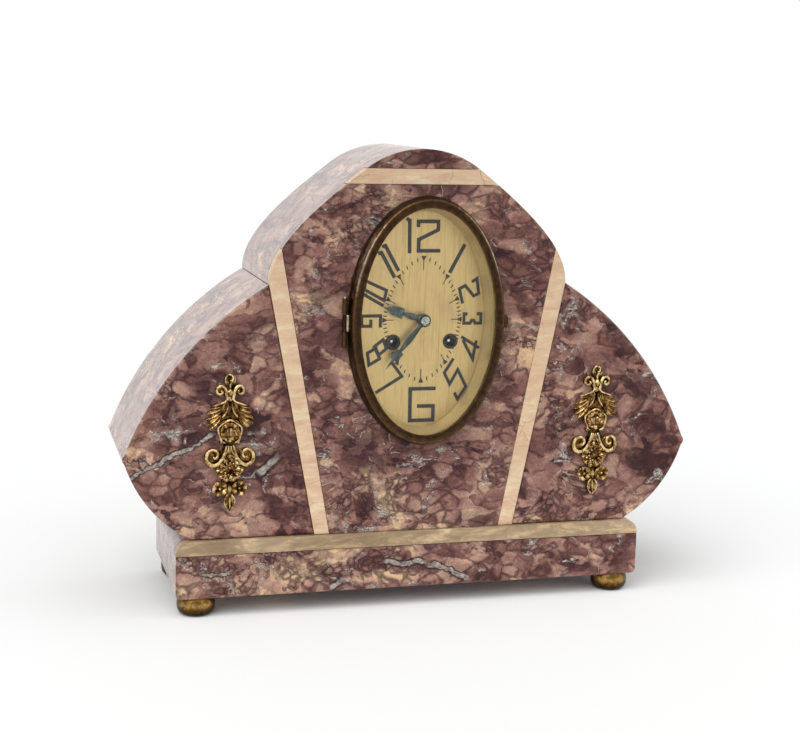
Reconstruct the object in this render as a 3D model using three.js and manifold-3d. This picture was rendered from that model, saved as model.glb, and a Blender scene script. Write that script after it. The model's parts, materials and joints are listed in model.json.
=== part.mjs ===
// A marble mantel clock: a keystone centre block between two wings on a low plinth, onyx strips
// in the joints, an oval glazed dial, and a round eight-day striking movement behind it.
// Millimetres, +Z up, +X to the right, +Y into the depth. The origin is at the bottom centre.
import * as THREE from "three";
import { mergeVertices } from "three/addons/utils/BufferGeometryUtils.js";
import Module from "manifold-3d";

const wasm = await Module();
wasm.setup();

// Clearances
const SEAT_GAP = 0.3; // between pieces that rest on, fit in or are glued to each other
const RUN_GAP = 0.3; // between a turning piece and what it turns in

// Case
const FOOT_HEIGHT = 13.1;
const FOOT_RADIUS = 13;
const FOOT_SOLE_RADIUS = 8;
const FOOT_X = 150.4;
const FOOT_INSET = 9.6; // from the body's front or rear face to a foot's centre
const PLINTH_HALF_WIDTH = 165.5;
const PLINTH_HEIGHT = 39.9;
const PLINTH_PROUD = 3; // before the body's front face, and behind its rear face
const PLINTH_TOP_RADIUS = 9;
const PLINTH_LOW_RADIUS = 3.5;
const PLINTH_STRIP_HEIGHT = 9.9;
const STRIP_DEPTH = 8; // how deep the onyx strips are let into the marble
const BODY_DEPTH = 108;
const SHOULDER_X = 103.8;
const SHOULDER_Z = 224.3;
const JOINT_BASE_X = 71; // where the joint between centre and wing meets the plinth
const STRIP_BASE_WIDTH = 10.3;
const STRIP_SHOULDER_WIDTH = 12.3;
const CROWN_TOP_Z = 314.3;
const CROWN_RADIUS = 65.5;
const CROWN_ANGLE = THREE.MathUtils.degToRad(37.2);
const FLANK_UPPER_PULL = 52; // lengths of the flank curve's two handles
const FLANK_LOWER_PULL = 22;
const TOP_STRIP_DEPTH = 23.4; // from the crown's top down to the strip's low edge
const TOP_STRIP_HEIGHT = 10.2;
const WING_TIP_X = 200;
const WING_TIP_Z = 109.3;
const WING_TIP_RADIUS = 3;
const WING_UPPER_RADIUS = 229.7;
const WING_LOWER_RADIUS = 91;
const WING_BASE_X = 155;
const CASE_EDGE = 1; // small rounding on the marble's front and rear edges

// Dial, bezel and glass. Every oval is as much taller than wide by the same amount, so that the
// rings keep one width all the way round.
const DIAL_X = 3.8;
const DIAL_DEPTH = 115.7; // from the crown's top down to the middle of the dial
const OVAL = 29.5; // half height less half width
const BEZEL_HALF = 84.8;
const BEZEL_WIDTH = 7.4;
const BEZEL_PROUD = 9.5;
const BEZEL_BACK_Y = -1.8;
const GLASS_THICK = 2;
const GLASS_SEAT_WIDTH = 1.6;
const GLASS_FRONT_Y = -5.9;
const PAN_FLANGE_HALF = BEZEL_HALF + SEAT_GAP;
const PAN_FLANGE_WIDTH = 5.3; // from its rim in to the collar
const PAN_COLLAR_HALF = PAN_FLANGE_HALF - PAN_FLANGE_WIDTH;
const PAN_FLANGE_THICK = 1.2;
const PAN_WALL = 1.2;
const PAN_HOLE_RADIUS = 34;
const PAN_FOOT_RADIUS = 2; // of the feet between the pan and the front plate
const PAN_FOOT_OUT = 3.5; // from the pan's hole out to their middle
const RECESS_DEPTH = 17;
const DIAL_GAP = 0.4; // between the dial's edge and the pan's collar
const DIAL_FRONT_Y = 8.5;
const DIAL_THICK = 1.2;
const SIGHT_TAPER = 3.9; // how much the sight ring draws in from the glass to the dial
const SIGHT_WALL = 0.9;
const WINDING_HOLE_RADIUS = 4.8;
const HAND_HOLE_RADIUS = 4;
const HINGE_PIN_RADIUS = 0.7;
const KNUCKLE_RADIUS = 1.5;
const HINGE_OUT = 1.9; // from the bezel's outer edge to the hinge pin
const HINGE_Y = -3.2;
const HINGE_LENGTH = 33;
const BEZEL_KNUCKLE_LENGTH = 11.6;

// Rear ring and door
const BORE_RADIUS = 48;
const REAR_FLANGE_RADIUS = 58;
const REAR_FLANGE_THICK = 1.5;
const SLEEVE_WALL = 1;
const SLEEVE_LENGTH = 12;
const DOOR_RADIUS = 54;
const DOOR_RIM_WIDTH = 4;
const DOOR_DEPTH = 3.4;
const DOOR_CROWN = 2.2;
const DOOR_SHEET = 1.2;
const DOOR_KNOB_LENGTH = 3.5;
const DOOR_KNOB_RADIUS = 3;
const DOOR_KNOB_X = 44;

// Pendulum chamber in the centre block
const CHAMBER_HALF_WIDTH = 29;
const CHAMBER_FRONT_Y = 46;
const CHAMBER_REAR_WALL = 15;

// Straps between the dial pan and the rear ring
const STRAP_THICK = 1.6;
const STRAP_HALF_WIDTH = 4;
const STRAP_LUG_MARGIN = 2; // from the pan's hole out to the lug's inner end
const STRAP_SCREW_RADIUS = 1.6;
const STRAP_HEAD_RADIUS = 2;

// Movement, measured from the centre of the dial
const PLATE_RADIUS = 44;
const PLATE_THICK = 2;
const FRONT_PLATE_Y = 18;
const PLATE_SPACING = 33;
const PILLAR_RADIUS = 1.8;
const PILLAR_CIRCLE = 41;
const PILLAR_ANGLES = [62, 128, 191, 270, 357];
const WINDING_X = 20.4;
const WINDING_DROP = 15.2;
const WINDING_SQUARE = 3.6;
const WINDING_ARBOR_RADIUS = 2;
const WINDING_ARBOR_FRONT_Y = 12.4;
const RATCHET_RADIUS = 8;
const RATCHET_TEETH = 20;
const RATCHET_Y = 14.6;
const RATCHET_THICK = 2;
const ARBOR_RADIUS = 1;
const FINE_ARBOR_RADIUS = 0.5;
const PIVOT_RADIUS = 0.45;
const BARREL_TEETH = 72;
const BARREL_MODULE = 0.5;
const BARREL_DRUM_RADIUS = 16.6;
const BARREL_FRONT_Y = 26;
const BARREL_REAR_Y = 44.6;
const GREAT_WHEEL_THICK = 1.6;
const BARREL_PINION = 12;
const WHEEL_THICK = 1.2;
const FRONT_WHEEL_Y = 21.6;
const STRIKE_SECOND_Y = 23.2;
const REAR_WHEEL_Y = 46.4;
const THIRD_WHEEL_Y = 49.4;
const ESCAPE_Y = 38;
const SECOND_TEETH = 60;
const CENTRE_PINION = 10;
const SECOND_MODULE = 0.5;
const CENTRE_TEETH = 72;
const THIRD_PINION = 6;
const CENTRE_MODULE = 0.42;
const THIRD_TEETH = 72;
const ESCAPE_PINION = 6;
const THIRD_MODULE = 0.3;
const ESCAPE_TEETH = 36;
const ESCAPE_RADIUS = 10.5;
const ESCAPE_Z = 21.5;
const ANCHOR_Z = 35.5;
const PALLET_GAP = 1.1; // the pallets are drawn back, so that the wheel turns free of them
const STRIKE_SECOND_ANGLE = 122;
const STRIKE_SECOND_TEETH = 54;
const PIN_PINION = 8;
const STRIKE_SECOND_MODULE = 0.36;
const PIN_WHEEL_ANGLE = 66;
const PIN_TEETH = 48;
const LOCKING_PINION = 6;
const PIN_MODULE = 0.34;
const LOCKING_ANGLE = 46.5;
const LOCKING_TEETH = 48;
const FLY_PINION = 6;
const LOCKING_MODULE = 0.3;
const FLY_ANGLE = 55;
const FLY_HALF_SPAN = 5.4;
const PIN_WHEEL_Y = 31;
const LOCKING_WHEEL_Y = 44;
const LIFTING_PINS = 8;
const LIFTING_PIN_CIRCLE = 6.2;
const LIFTING_PIN_RADIUS = 0.45;
const LIFTING_PIN_LENGTH = 3.4;
const COUNT_WHEEL_RADIUS = 9;

// Motion work and hands
const CANNON_TEETH = 12;
const MINUTE_WHEEL_TEETH = 36;
const MINUTE_PINION = 10;
const HOUR_WHEEL_TEETH = 40;
const MOTION_DISTANCE = 12;
const CANNON_RADIUS = 2;
const HOUR_PIPE_RADIUS = 3.3;
const HOUR_HAND_Y = 5;
const MINUTE_HAND_Y = 2.7;
const HAND_THICK = 0.9;
const HAND_HUB_RADIUS = 4.4;
const MINUTE_HAND_LENGTH = 42;
const HOUR_HAND_LENGTH = 29;
const MINUTE_HAND_ANGLE = 219; // clockwise from twelve
const HOUR_HAND_ANGLE = 288;

// Pendulum, bell and hammer. Each distance out is from the back plate's rear face.
const COCK_OUT = 3.4;
const COCK_THICK = 1.6;
const CRUTCH_OUT = 1.2;
const PENDULUM_OUT = 8;
const ROD_HALF_WIDTH = 0.9;
const ROD_HALF_THICK = 0.6;
const ROD_HEAD_HALF_WIDTH = 3;
const ROD_HEAD_HALF_THICK = 0.8;
const ROD_HEAD_HEIGHT = 4.2;
const PENDULUM_LENGTH = 120;
const BOB_RADIUS = 19;
const BOB_HALF_THICK = 4.5;
const ROD_TAIL = 7; // of the rod, below the bob
const RATING_NUT_HEIGHT = 3.1;
const BELL_DROP = 17;
const BELL_RADIUS = 28;
const BELL_MOUTH_OUT = 13;
const BELL_DEPTH = 17;
const BELL_WALL = 1.5;
const STAND_RADIUS = 1.5;
const STAND_FOOT_X = 14;
const STAND_FOOT_DROP = 37;
const HAMMER_X = -27.5;
const HAMMER_Z = 26.1;
const HAMMER_HEAD_RADIUS = 3;
const HAMMER_HEAD_ANGLE = 155; // where the head meets the rim, seen from the front
const HAMMER_REST_GAP = 1;

// Gilt floral mounts
const MOUNT_X = 129.6;
const MOUNT_Z = 119.6;
const MOUNT_HEIGHT = 94;
const MOUNT_SQUARE_COUNT = 94; // the spray is drawn on squares, this many to its height

// The body's front face, placed so that the bezel's crown and the rear door's knob are as far
// before the origin as behind it.
const REAR_MOST = BODY_DEPTH + SEAT_GAP + REAR_FLANGE_THICK + SEAT_GAP
  + DOOR_DEPTH + DOOR_CROWN + DOOR_KNOB_LENGTH;
const FRONT_Y = (BEZEL_PROUD - REAR_MOST) / 2;
const DIAL_Z = CROWN_TOP_Z - DIAL_DEPTH;

// Materials
function material(color, roughness, metalness = 0) {
  return new THREE.MeshStandardMaterial({ color, roughness, metalness });
}
const marble = material(0x8f6a63, 0.25);
const onyx = material(0xd9c4a4, 0.35);
const giltBrass = material(0xb08a45, 0.4, 1);
const patinatedBrass = material(0x4e4028, 0.4, 1);
const dialGilt = material(0xc9b070, 0.35, 1);
const polishedBrass = material(0xc8a55a, 0.3, 1);
const blueSteel = material(0x36424a, 0.3, 1);
const steel = material(0x9a9ea0, 0.3, 1);
const bellMetal = material(0xc0c0b0, 0.25, 1);
const glass = new THREE.MeshStandardMaterial({
  color: 0xffffff, roughness: 0.05, metalness: 0, transparent: true, opacity: 0.2,
});

// Solids
function solid(geometry) {
  const bare = geometry.clone();
  bare.deleteAttribute("normal");
  bare.deleteAttribute("uv");
  const merged = mergeVertices(bare, 1e-4);
  const corners = merged.index.array;
  const kept = [];
  for (let i = 0; i < corners.length; i += 3) {
    const [a, b, c] = [corners[i], corners[i + 1], corners[i + 2]];
    if (a !== b && b !== c && c !== a) {
      kept.push(a, b, c);
    }
  }
  return new wasm.Manifold(new wasm.Mesh({
    numProp: 3,
    vertProperties: merged.attributes.position.array,
    triVerts: new Uint32Array(kept),
  }));
}

function join(...solids) {
  return solids.reduce((whole, next) => whole.add(next));
}

function cut(whole, ...tools) {
  return tools.reduce((left, tool) => left.subtract(tool), whole);
}

// A front outline given in x and z, made a slab between two depths.
function slab(shape, y0, y1, curveSegments = 12) {
  const geometry = new THREE.ExtrudeGeometry(shape, {
    depth: y1 - y0, bevelEnabled: false, curveSegments,
  });
  return solid(geometry.rotateX(Math.PI / 2).translate(0, y1, 0));
}

// The same slab with its front and rear edges rounded by one small facet, inside the outline.
function easedSlab(shape, y0, y1, edge, curveSegments = 12) {
  const geometry = new THREE.ExtrudeGeometry(shape, {
    depth: y1 - y0 - 2 * edge, curveSegments, bevelEnabled: true,
    bevelThickness: edge, bevelSize: edge, bevelOffset: -edge, bevelSegments: 1,
  });
  return solid(geometry.rotateX(Math.PI / 2).translate(0, y1 - edge, 0));
}

function block(x0, x1, y0, y1, z0, z1) {
  const geometry = new THREE.BoxGeometry(x1 - x0, y1 - y0, z1 - z0);
  return solid(geometry.translate((x0 + x1) / 2, (y0 + y1) / 2, (z0 + z1) / 2));
}

// A round bar along the depth.
function bar(x, z, radius, y0, y1, sides = 8) {
  const geometry = new THREE.CylinderGeometry(radius, radius, y1 - y0, sides);
  return solid(geometry.translate(x, (y0 + y1) / 2, z));
}

// A round bar standing upright.
function post(x, y, radius, z0, z1, sides = 10) {
  const geometry = new THREE.CylinderGeometry(radius, radius, z1 - z0, sides);
  return solid(geometry.rotateX(Math.PI / 2).translate(x, y, (z0 + z1) / 2));
}

// Points [radius, height along the axis], listed either way round.
function latheOf(profile, segments) {
  const points = profile.map(([r, h]) => new THREE.Vector2(r, h));
  if (THREE.ShapeUtils.area(points) < 0) {
    points.reverse();
  }
  points.push(points[0].clone());
  return new THREE.LatheGeometry(points, segments);
}

// A piece turned about an axis along the depth.
function turned(x, z, profile, segments = 24) {
  return solid(latheOf(profile, segments).translate(x, 0, z));
}

// A turned ring drawn in to an oval: radius r on the tall axis, r - OVAL on the wide one.
function ovalTurned(profile, segments = 36) {
  const geometry = latheOf(profile, segments);
  const place = geometry.attributes.position;
  for (let i = 0; i < place.count; i += 1) {
    const r = Math.hypot(place.getX(i), place.getZ(i));
    place.setX(i, place.getX(i) * (r - OVAL) / r);
  }
  return solid(geometry);
}

function ovalShape(half) {
  return new THREE.Shape().absellipse(0, 0, half - OVAL, half, 0, 2 * Math.PI, false, 0);
}

function holeShape(x, z, radius) {
  return new THREE.Path().absarc(x, z, radius, 0, 2 * Math.PI, false);
}

function polar(from, distance, degrees) {
  const angle = THREE.MathUtils.degToRad(degrees);
  return [from[0] + distance * Math.cos(angle), from[1] + distance * Math.sin(angle)];
}

// The group and its pieces
const clock = new THREE.Group();
const caseGroup = new THREE.Group();
caseGroup.position.set(0, FRONT_Y, 0);
clock.add(caseGroup);
const dialGroup = new THREE.Group();
dialGroup.position.set(DIAL_X, FRONT_Y, DIAL_Z);
clock.add(dialGroup);

function piece(group, name, body, finish) {
  const mesh = body.getMesh();
  const geometry = new THREE.BufferGeometry();
  geometry.setAttribute("position", new THREE.BufferAttribute(mesh.vertProperties, 3));
  geometry.setIndex(new THREE.BufferAttribute(mesh.triVerts, 1));
  geometry.computeVertexNormals();
  const node = new THREE.Mesh(geometry, finish);
  node.name = name;
  group.add(node);
}

// Plinth: a slab with rounded ends, seen from the front, and an onyx strip let into the front
// of its upper edge.
const PLINTH_TOP_Z = FOOT_HEIGHT + PLINTH_HEIGHT;
const BODY_BASE_Z = PLINTH_TOP_Z + SEAT_GAP;

function plinthOutline() {
  const w = PLINTH_HALF_WIDTH;
  const low = FOOT_HEIGHT + SEAT_GAP;
  const shape = new THREE.Shape();
  shape.absarc(w - PLINTH_LOW_RADIUS, low + PLINTH_LOW_RADIUS, PLINTH_LOW_RADIUS,
    -Math.PI / 2, 0, false);
  shape.absarc(w - PLINTH_TOP_RADIUS, PLINTH_TOP_Z - PLINTH_TOP_RADIUS, PLINTH_TOP_RADIUS,
    0, Math.PI / 2, false);
  shape.absarc(PLINTH_TOP_RADIUS - w, PLINTH_TOP_Z - PLINTH_TOP_RADIUS, PLINTH_TOP_RADIUS,
    Math.PI / 2, Math.PI, false);
  shape.absarc(PLINTH_LOW_RADIUS - w, low + PLINTH_LOW_RADIUS, PLINTH_LOW_RADIUS,
    Math.PI, 1.5 * Math.PI, false);
  return shape;
}

function addPlinth() {
  const front = -PLINTH_PROUD;
  const rear = BODY_DEPTH + PLINTH_PROUD;
  const stripLow = PLINTH_TOP_Z - PLINTH_STRIP_HEIGHT;
  const reach = PLINTH_HALF_WIDTH + 1;
  const whole = slab(plinthOutline(), front, rear, 4);
  const rebate = block(-reach, reach, front - 1, front + STRIP_DEPTH + SEAT_GAP,
    stripLow - SEAT_GAP, PLINTH_TOP_Z + 1);
  const strip = block(-reach, reach, front - 1, front + STRIP_DEPTH, stripLow, PLINTH_TOP_Z + 1);
  piece(caseGroup, "plinth", whole.subtract(rebate), marble);
  piece(caseGroup, "plinth_strip", whole.intersect(strip), onyx);
}

// Feet: turned brass buns.
function addFeet() {
  const [r, h] = [FOOT_RADIUS, FOOT_HEIGHT];
  const profile = [[0, 0], [FOOT_SOLE_RADIUS, 0], [r * 0.86, h * 0.12], [r * 0.97, h * 0.32],
    [r, h * 0.56], [r * 0.975, h * 0.8], [r * 0.92, h], [0, h]];
  const places = {
    foot_front_left: [-FOOT_X, FOOT_INSET],
    foot_front_right: [FOOT_X, FOOT_INSET],
    foot_rear_left: [-FOOT_X, BODY_DEPTH - FOOT_INSET],
    foot_rear_right: [FOOT_X, BODY_DEPTH - FOOT_INSET],
  };
  for (const [name, [x, y]] of Object.entries(places)) {
    const bun = latheOf(profile, 16).rotateX(Math.PI / 2).translate(x, y, 0);
    piece(caseGroup, name, solid(bun), giltBrass);
  }
}

// The case's outline: a crown arc, and a flank that runs from it down to the shoulder.
const CROWN_FOOT_X = CROWN_RADIUS * Math.sin(CROWN_ANGLE);
const CROWN_FOOT_Z = CROWN_TOP_Z - CROWN_RADIUS + CROWN_RADIUS * Math.cos(CROWN_ANGLE);

function centreOutline() {
  const upperX = CROWN_FOOT_X + FLANK_UPPER_PULL * Math.cos(CROWN_ANGLE);
  const upperZ = CROWN_FOOT_Z - FLANK_UPPER_PULL * Math.sin(CROWN_ANGLE);
  const lowerZ = SHOULDER_Z + FLANK_LOWER_PULL;
  const shape = new THREE.Shape();
  shape.moveTo(JOINT_BASE_X, BODY_BASE_Z);
  shape.lineTo(SHOULDER_X, SHOULDER_Z);
  shape.bezierCurveTo(SHOULDER_X, lowerZ, upperX, upperZ, CROWN_FOOT_X, CROWN_FOOT_Z);
  shape.absarc(0, CROWN_TOP_Z - CROWN_RADIUS, CROWN_RADIUS,
    Math.PI / 2 - CROWN_ANGLE, Math.PI / 2 + CROWN_ANGLE, false);
  shape.bezierCurveTo(-upperX, upperZ, -SHOULDER_X, lowerZ, -SHOULDER_X, SHOULDER_Z);
  shape.lineTo(-JOINT_BASE_X, BODY_BASE_Z);
  return shape;
}

// The band between the keystone and the joint with the wing, continued past the outline.
function stripRegion(side, gap, y0, y1) {
  const past = 1.2;
  const topZ = SHOULDER_Z + (SHOULDER_Z - BODY_BASE_Z) * (past - 1);
  const jointTop = SHOULDER_X + (SHOULDER_X - JOINT_BASE_X) * (past - 1) + 20;
  const baseInner = JOINT_BASE_X - STRIP_BASE_WIDTH;
  const shoulderInner = SHOULDER_X - STRIP_SHOULDER_WIDTH;
  const topInner = baseInner + (shoulderInner - baseInner) * past;
  const shape = new THREE.Shape([
    new THREE.Vector2(side * (baseInner - gap), BODY_BASE_Z - gap),
    new THREE.Vector2(side * (JOINT_BASE_X + 20), BODY_BASE_Z - gap),
    new THREE.Vector2(side * jointTop, topZ),
    new THREE.Vector2(side * (topInner - gap), topZ),
  ]);
  return slab(shape, y0, y1);
}

function addCentreBlock() {
  const whole = slab(centreOutline(), 0, BODY_DEPTH, 20);
  const stripLow = CROWN_TOP_Z - TOP_STRIP_DEPTH;
  const stripHigh = stripLow + TOP_STRIP_HEIGHT;
  const topStrip = block(-SHOULDER_X, SHOULDER_X, -1, STRIP_DEPTH, stripLow, stripHigh);
  const topRebate = block(-SHOULDER_X, SHOULDER_X, -1, STRIP_DEPTH + SEAT_GAP,
    stripLow - SEAT_GAP, stripHigh + SEAT_GAP);
  const recess = slab(ovalShape(PAN_COLLAR_HALF + SEAT_GAP), -1, RECESS_DEPTH, 20);
  const bore = bar(0, 0, BORE_RADIUS, PAN_REAR_Y, BODY_DEPTH + 1, 40);
  const chamber = block(-CHAMBER_HALF_WIDTH, CHAMBER_HALF_WIDTH,
    CHAMBER_FRONT_Y, BODY_DEPTH - CHAMBER_REAR_WALL, BODY_BASE_Z - DIAL_Z - 1, 0);
  const hollow = join(recess, bore, chamber).translate([DIAL_X, 0, DIAL_Z]);
  piece(caseGroup, "centre_block", cut(whole, topRebate, hollow,
    stripRegion(-1, SEAT_GAP, -1, STRIP_DEPTH + SEAT_GAP),
    stripRegion(1, SEAT_GAP, -1, STRIP_DEPTH + SEAT_GAP)), marble);
  piece(caseGroup, "top_strip", whole.intersect(topStrip), onyx);
  for (const [name, side] of [["side_strip_left", -1], ["side_strip_right", 1]]) {
    piece(caseGroup, name, whole.intersect(stripRegion(side, 0, 0, STRIP_DEPTH)), onyx);
  }
}

// A wing: the joint line, a long convex upper edge, a blunt tip and a convex lower edge.
function wingOutline() {
  const slope = (SHOULDER_X - JOINT_BASE_X) / (SHOULDER_Z - BODY_BASE_Z);
  const gap = SEAT_GAP * Math.hypot(1, slope);
  const start = new THREE.Vector2(WING_BASE_X, BODY_BASE_Z);
  const tipLow = new THREE.Vector2(WING_TIP_X - 1.6, WING_TIP_Z - WING_TIP_RADIUS);
  const tipHigh = new THREE.Vector2(WING_TIP_X - 1.3, WING_TIP_Z + WING_TIP_RADIUS);
  const shoulder = new THREE.Vector2(SHOULDER_X + gap, SHOULDER_Z - slope);
  const shape = new THREE.Shape();
  shape.moveTo(JOINT_BASE_X + gap, BODY_BASE_Z);
  shape.lineTo(start.x, start.y);
  addArc(shape, start, tipLow, WING_LOWER_RADIUS);
  shape.quadraticCurveTo(WING_TIP_X + 1.45, WING_TIP_Z, tipHigh.x, tipHigh.y);
  addArc(shape, tipHigh, shoulder, WING_UPPER_RADIUS);
  return shape;
}

// An arc of a given radius from one point to another, bulging to the right of its direction.
function addArc(shape, from, to, radius) {
  const half = from.distanceTo(to) / 2;
  const middle = from.clone().add(to).multiplyScalar(0.5);
  const along = to.clone().sub(from).normalize();
  const reach = Math.sqrt(radius * radius - half * half);
  const centre = new THREE.Vector2(middle.x - along.y * reach, middle.y + along.x * reach);
  const start = Math.atan2(from.y - centre.y, from.x - centre.x);
  const end = Math.atan2(to.y - centre.y, to.x - centre.x);
  shape.absarc(centre.x, centre.y, radius, start, end, false);
}

function addWings() {
  const right = easedSlab(wingOutline(), 0, BODY_DEPTH, CASE_EDGE, 12);
  piece(caseGroup, "wing_right", right, marble);
  piece(caseGroup, "wing_left", right.mirror([1, 0, 0]), marble);
}

// Gilt floral mounts: a bud over two scrolls, two fans of leaves, a rose, two volutes with a
// daisy between them, two small flowers and a hanging bud, all cast on one thin web. They are
// drawn on squares from the mount's middle, standing on the plane y = 0.
const MOUNT_HALF = MOUNT_SQUARE_COUNT / 2;
const MOUNT_ROOM = block(-MOUNT_HALF, MOUNT_HALF, -MOUNT_HALF, 0, -MOUNT_HALF, MOUNT_HALF);

// A leaf is a flattened spindle, half sunk in the web. Zero degrees points up.
function leaf(x, z, length, width, degrees, height) {
  const profile = [new THREE.Vector2(0, 0), new THREE.Vector2(width / 2, length * 0.55),
    new THREE.Vector2(0, length)];
  const geometry = new THREE.LatheGeometry(profile, 4).rotateX(Math.PI / 2);
  geometry.scale(1, (2 * height) / width, 1).rotateY(THREE.MathUtils.degToRad(degrees));
  return solid(geometry.translate(x, 0, z)).intersect(MOUNT_ROOM);
}

function boss(x, z, radius, height, segments = 8) {
  return turned(x, z, [[0, 0], [radius, 0], [radius * 0.72, -height * 0.78],
    [0, -height]], segments);
}

function flower(x, z, radius, height, petals) {
  const ring = [boss(x, z, radius * 0.42, height, 6)];
  for (let i = 0; i < petals; i += 1) {
    ring.push(leaf(x, z, radius, radius * 0.85, (360 * (i + 0.5)) / petals, height * 0.7));
  }
  return join(...ring);
}

function volute(x, z, radius) {
  const profile = [[radius * 0.4, 0], [radius, 0], [radius * 0.86, -3.3], [radius * 0.5, -2.1]];
  return join(turned(x, z, profile, 10), boss(x, z, radius * 0.46, 3.1, 6));
}

// The web's half width at heights from its foot up to its top.
function mountWeb() {
  const right = [[0, -45], [3.4, -36], [8, -31], [5.4, -26], [9.4, -14], [4.2, -1.5], [8.4, 13],
    [10.5, 19], [2.6, 29], [5.5, 34], [2, 44]];
  const left = right.slice(1).reverse().map(([x, z]) => [-x, z]);
  const shape = new THREE.Shape([...right, ...left].map(([x, z]) => new THREE.Vector2(x, z)));
  return slab(shape, -1.2, 0);
}

function floralMount() {
  const parts = [
    mountWeb(),
    flower(0, 7.3, 8.2, 6.2, 5),
    flower(0, -17.3, 9.6, 5.2, 8),
    boss(0, 34, 3, 4),
    leaf(0, 37, 10, 6, 0, 3.1),
    leaf(0, -32, 15, 8, 180, 3.3),
    leaf(0, 26, 9, 6, 0, 3.1),
  ];
  for (const side of [-1, 1]) {
    parts.push(volute(side * 12.2, -9.6, 5.8));
    parts.push(flower(side * 6.6, -31.2, 5.4, 4.4, 4));
    parts.push(volute(side * 7.4, 35.8, 3.7));
    parts.push(leaf(side * 2, 24.5, 14.5, 5, side * 96, 2.9));
    parts.push(leaf(side * 2, 23, 16.5, 5.5, side * 112, 3.1));
    parts.push(leaf(side * 2, 21, 16.8, 5.5, side * 128, 2.9));
    parts.push(leaf(side * 1, -1, 15, 4.5, side * 150, 2.7));
  }
  const drawn = join(...parts);
  return drawn.scale(MOUNT_HEIGHT / MOUNT_SQUARE_COUNT).translate([0, -SEAT_GAP, MOUNT_Z]);
}

function addFloralMounts() {
  const mount = floralMount();
  piece(caseGroup, "floral_mount_left", mount.translate([-MOUNT_X, 0, 0]), giltBrass);
  piece(caseGroup, "floral_mount_right", mount.translate([MOUNT_X, 0, 0]), giltBrass);
}

// Dial pan, dial and sight ring, around the centre of the dial.
const PAN_BACK_Y = DIAL_FRONT_Y + DIAL_THICK + SEAT_GAP;
const PAN_REAR_Y = PAN_BACK_Y + PAN_WALL;
const HINGE_X = -(BEZEL_HALF - OVAL + HINGE_OUT);
const BACK_PLATE_Y = FRONT_PLATE_Y + PLATE_THICK + PLATE_SPACING;
const BACK_PLATE_REAR_Y = BACK_PLATE_Y + PLATE_THICK;
const COCK_Y = BACK_PLATE_REAR_Y + COCK_OUT;
const CRUTCH_Y = BACK_PLATE_REAR_Y + CRUTCH_OUT;
const PENDULUM_Y = BACK_PLATE_REAR_Y + PENDULUM_OUT;
const BELL_MOUTH_Y = BACK_PLATE_REAR_Y + BELL_MOUTH_OUT;

function knuckle(z0, z1) {
  const barrel = post(HINGE_X, HINGE_Y, KNUCKLE_RADIUS, z0, z1, 12);
  const pinHole = post(HINGE_X, HINGE_Y, HINGE_PIN_RADIUS + RUN_GAP, z0 - 1, z1 + 1, 8);
  return [barrel, pinHole];
}

function addDialPan() {
  const flangeFront = -SEAT_GAP - PAN_FLANGE_THICK;
  const ring = ovalTurned([[PAN_COLLAR_HALF - PAN_WALL, flangeFront],
    [PAN_FLANGE_HALF, flangeFront], [PAN_FLANGE_HALF, -SEAT_GAP],
    [PAN_COLLAR_HALF, -SEAT_GAP], [PAN_COLLAR_HALF, PAN_REAR_Y],
    [PAN_COLLAR_HALF - PAN_WALL, PAN_REAR_Y]]);
  const back = ovalShape(PAN_COLLAR_HALF - PAN_WALL / 2);
  back.holes.push(holeShape(0, 0, PAN_HOLE_RADIUS));
  let pan = join(ring, slab(back, PAN_BACK_Y, PAN_REAR_Y, 20));
  for (const degrees of [45, 135, 225, 315]) {
    const [x, z] = polar([0, 0], PAN_HOLE_RADIUS + PAN_FOOT_OUT, degrees);
    pan = pan.add(bar(x, z, PAN_FOOT_RADIUS, PAN_BACK_Y, FRONT_PLATE_Y - SEAT_GAP, 8));
  }
  const ends = [];
  for (const side of [-1, 1]) {
    const inner = side * (BEZEL_KNUCKLE_LENGTH / 2 + RUN_GAP);
    const outer = side * (HINGE_LENGTH / 2);
    const [barrel, pinHole] = knuckle(Math.min(inner, outer), Math.max(inner, outer));
    const ear = block(HINGE_X - 1, HINGE_X + KNUCKLE_RADIUS + 1.6, flangeFront, -SEAT_GAP,
      Math.min(inner, outer), Math.max(inner, outer));
    const web = block(HINGE_X - 1, HINGE_X + 1, HINGE_Y + 1, flangeFront + 0.5,
      Math.min(inner, outer), Math.max(inner, outer));
    pan = join(pan, barrel, ear, web);
    ends.push(pinHole);
  }
  piece(dialGroup, "dial_frame", cut(pan, ...ends), patinatedBrass);
  const half = HINGE_LENGTH / 2;
  const pin = join(post(HINGE_X, HINGE_Y, HINGE_PIN_RADIUS, -half, half + SEAT_GAP + 0.5, 8),
    post(HINGE_X, HINGE_Y, KNUCKLE_RADIUS * 0.8, half + SEAT_GAP, half + SEAT_GAP + 1, 8));
  piece(dialGroup, "bezel_hinge_pin", pin, polishedBrass);
}

function addDial() {
  const dialHalf = PAN_COLLAR_HALF - PAN_WALL - DIAL_GAP;
  const face = ovalShape(dialHalf);
  face.holes.push(holeShape(0, 0, HAND_HOLE_RADIUS));
  face.holes.push(holeShape(-WINDING_X, -WINDING_DROP, WINDING_HOLE_RADIUS));
  face.holes.push(holeShape(WINDING_X, -WINDING_DROP, WINDING_HOLE_RADIUS));
  piece(dialGroup, "dial", slab(face, DIAL_FRONT_Y, DIAL_FRONT_Y + DIAL_THICK, 16), dialGilt);
  const front = GLASS_FRONT_Y + GLASS_THICK + SEAT_GAP;
  const rear = DIAL_FRONT_Y - SEAT_GAP;
  const innerHalf = dialHalf - SIGHT_TAPER;
  piece(dialGroup, "sight_ring", ovalTurned([[dialHalf - SIGHT_WALL, front],
    [dialHalf, front], [dialHalf, rear], [innerHalf, rear],
    [innerHalf - 0.3, rear - 0.8]]), dialGilt);
}

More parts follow.
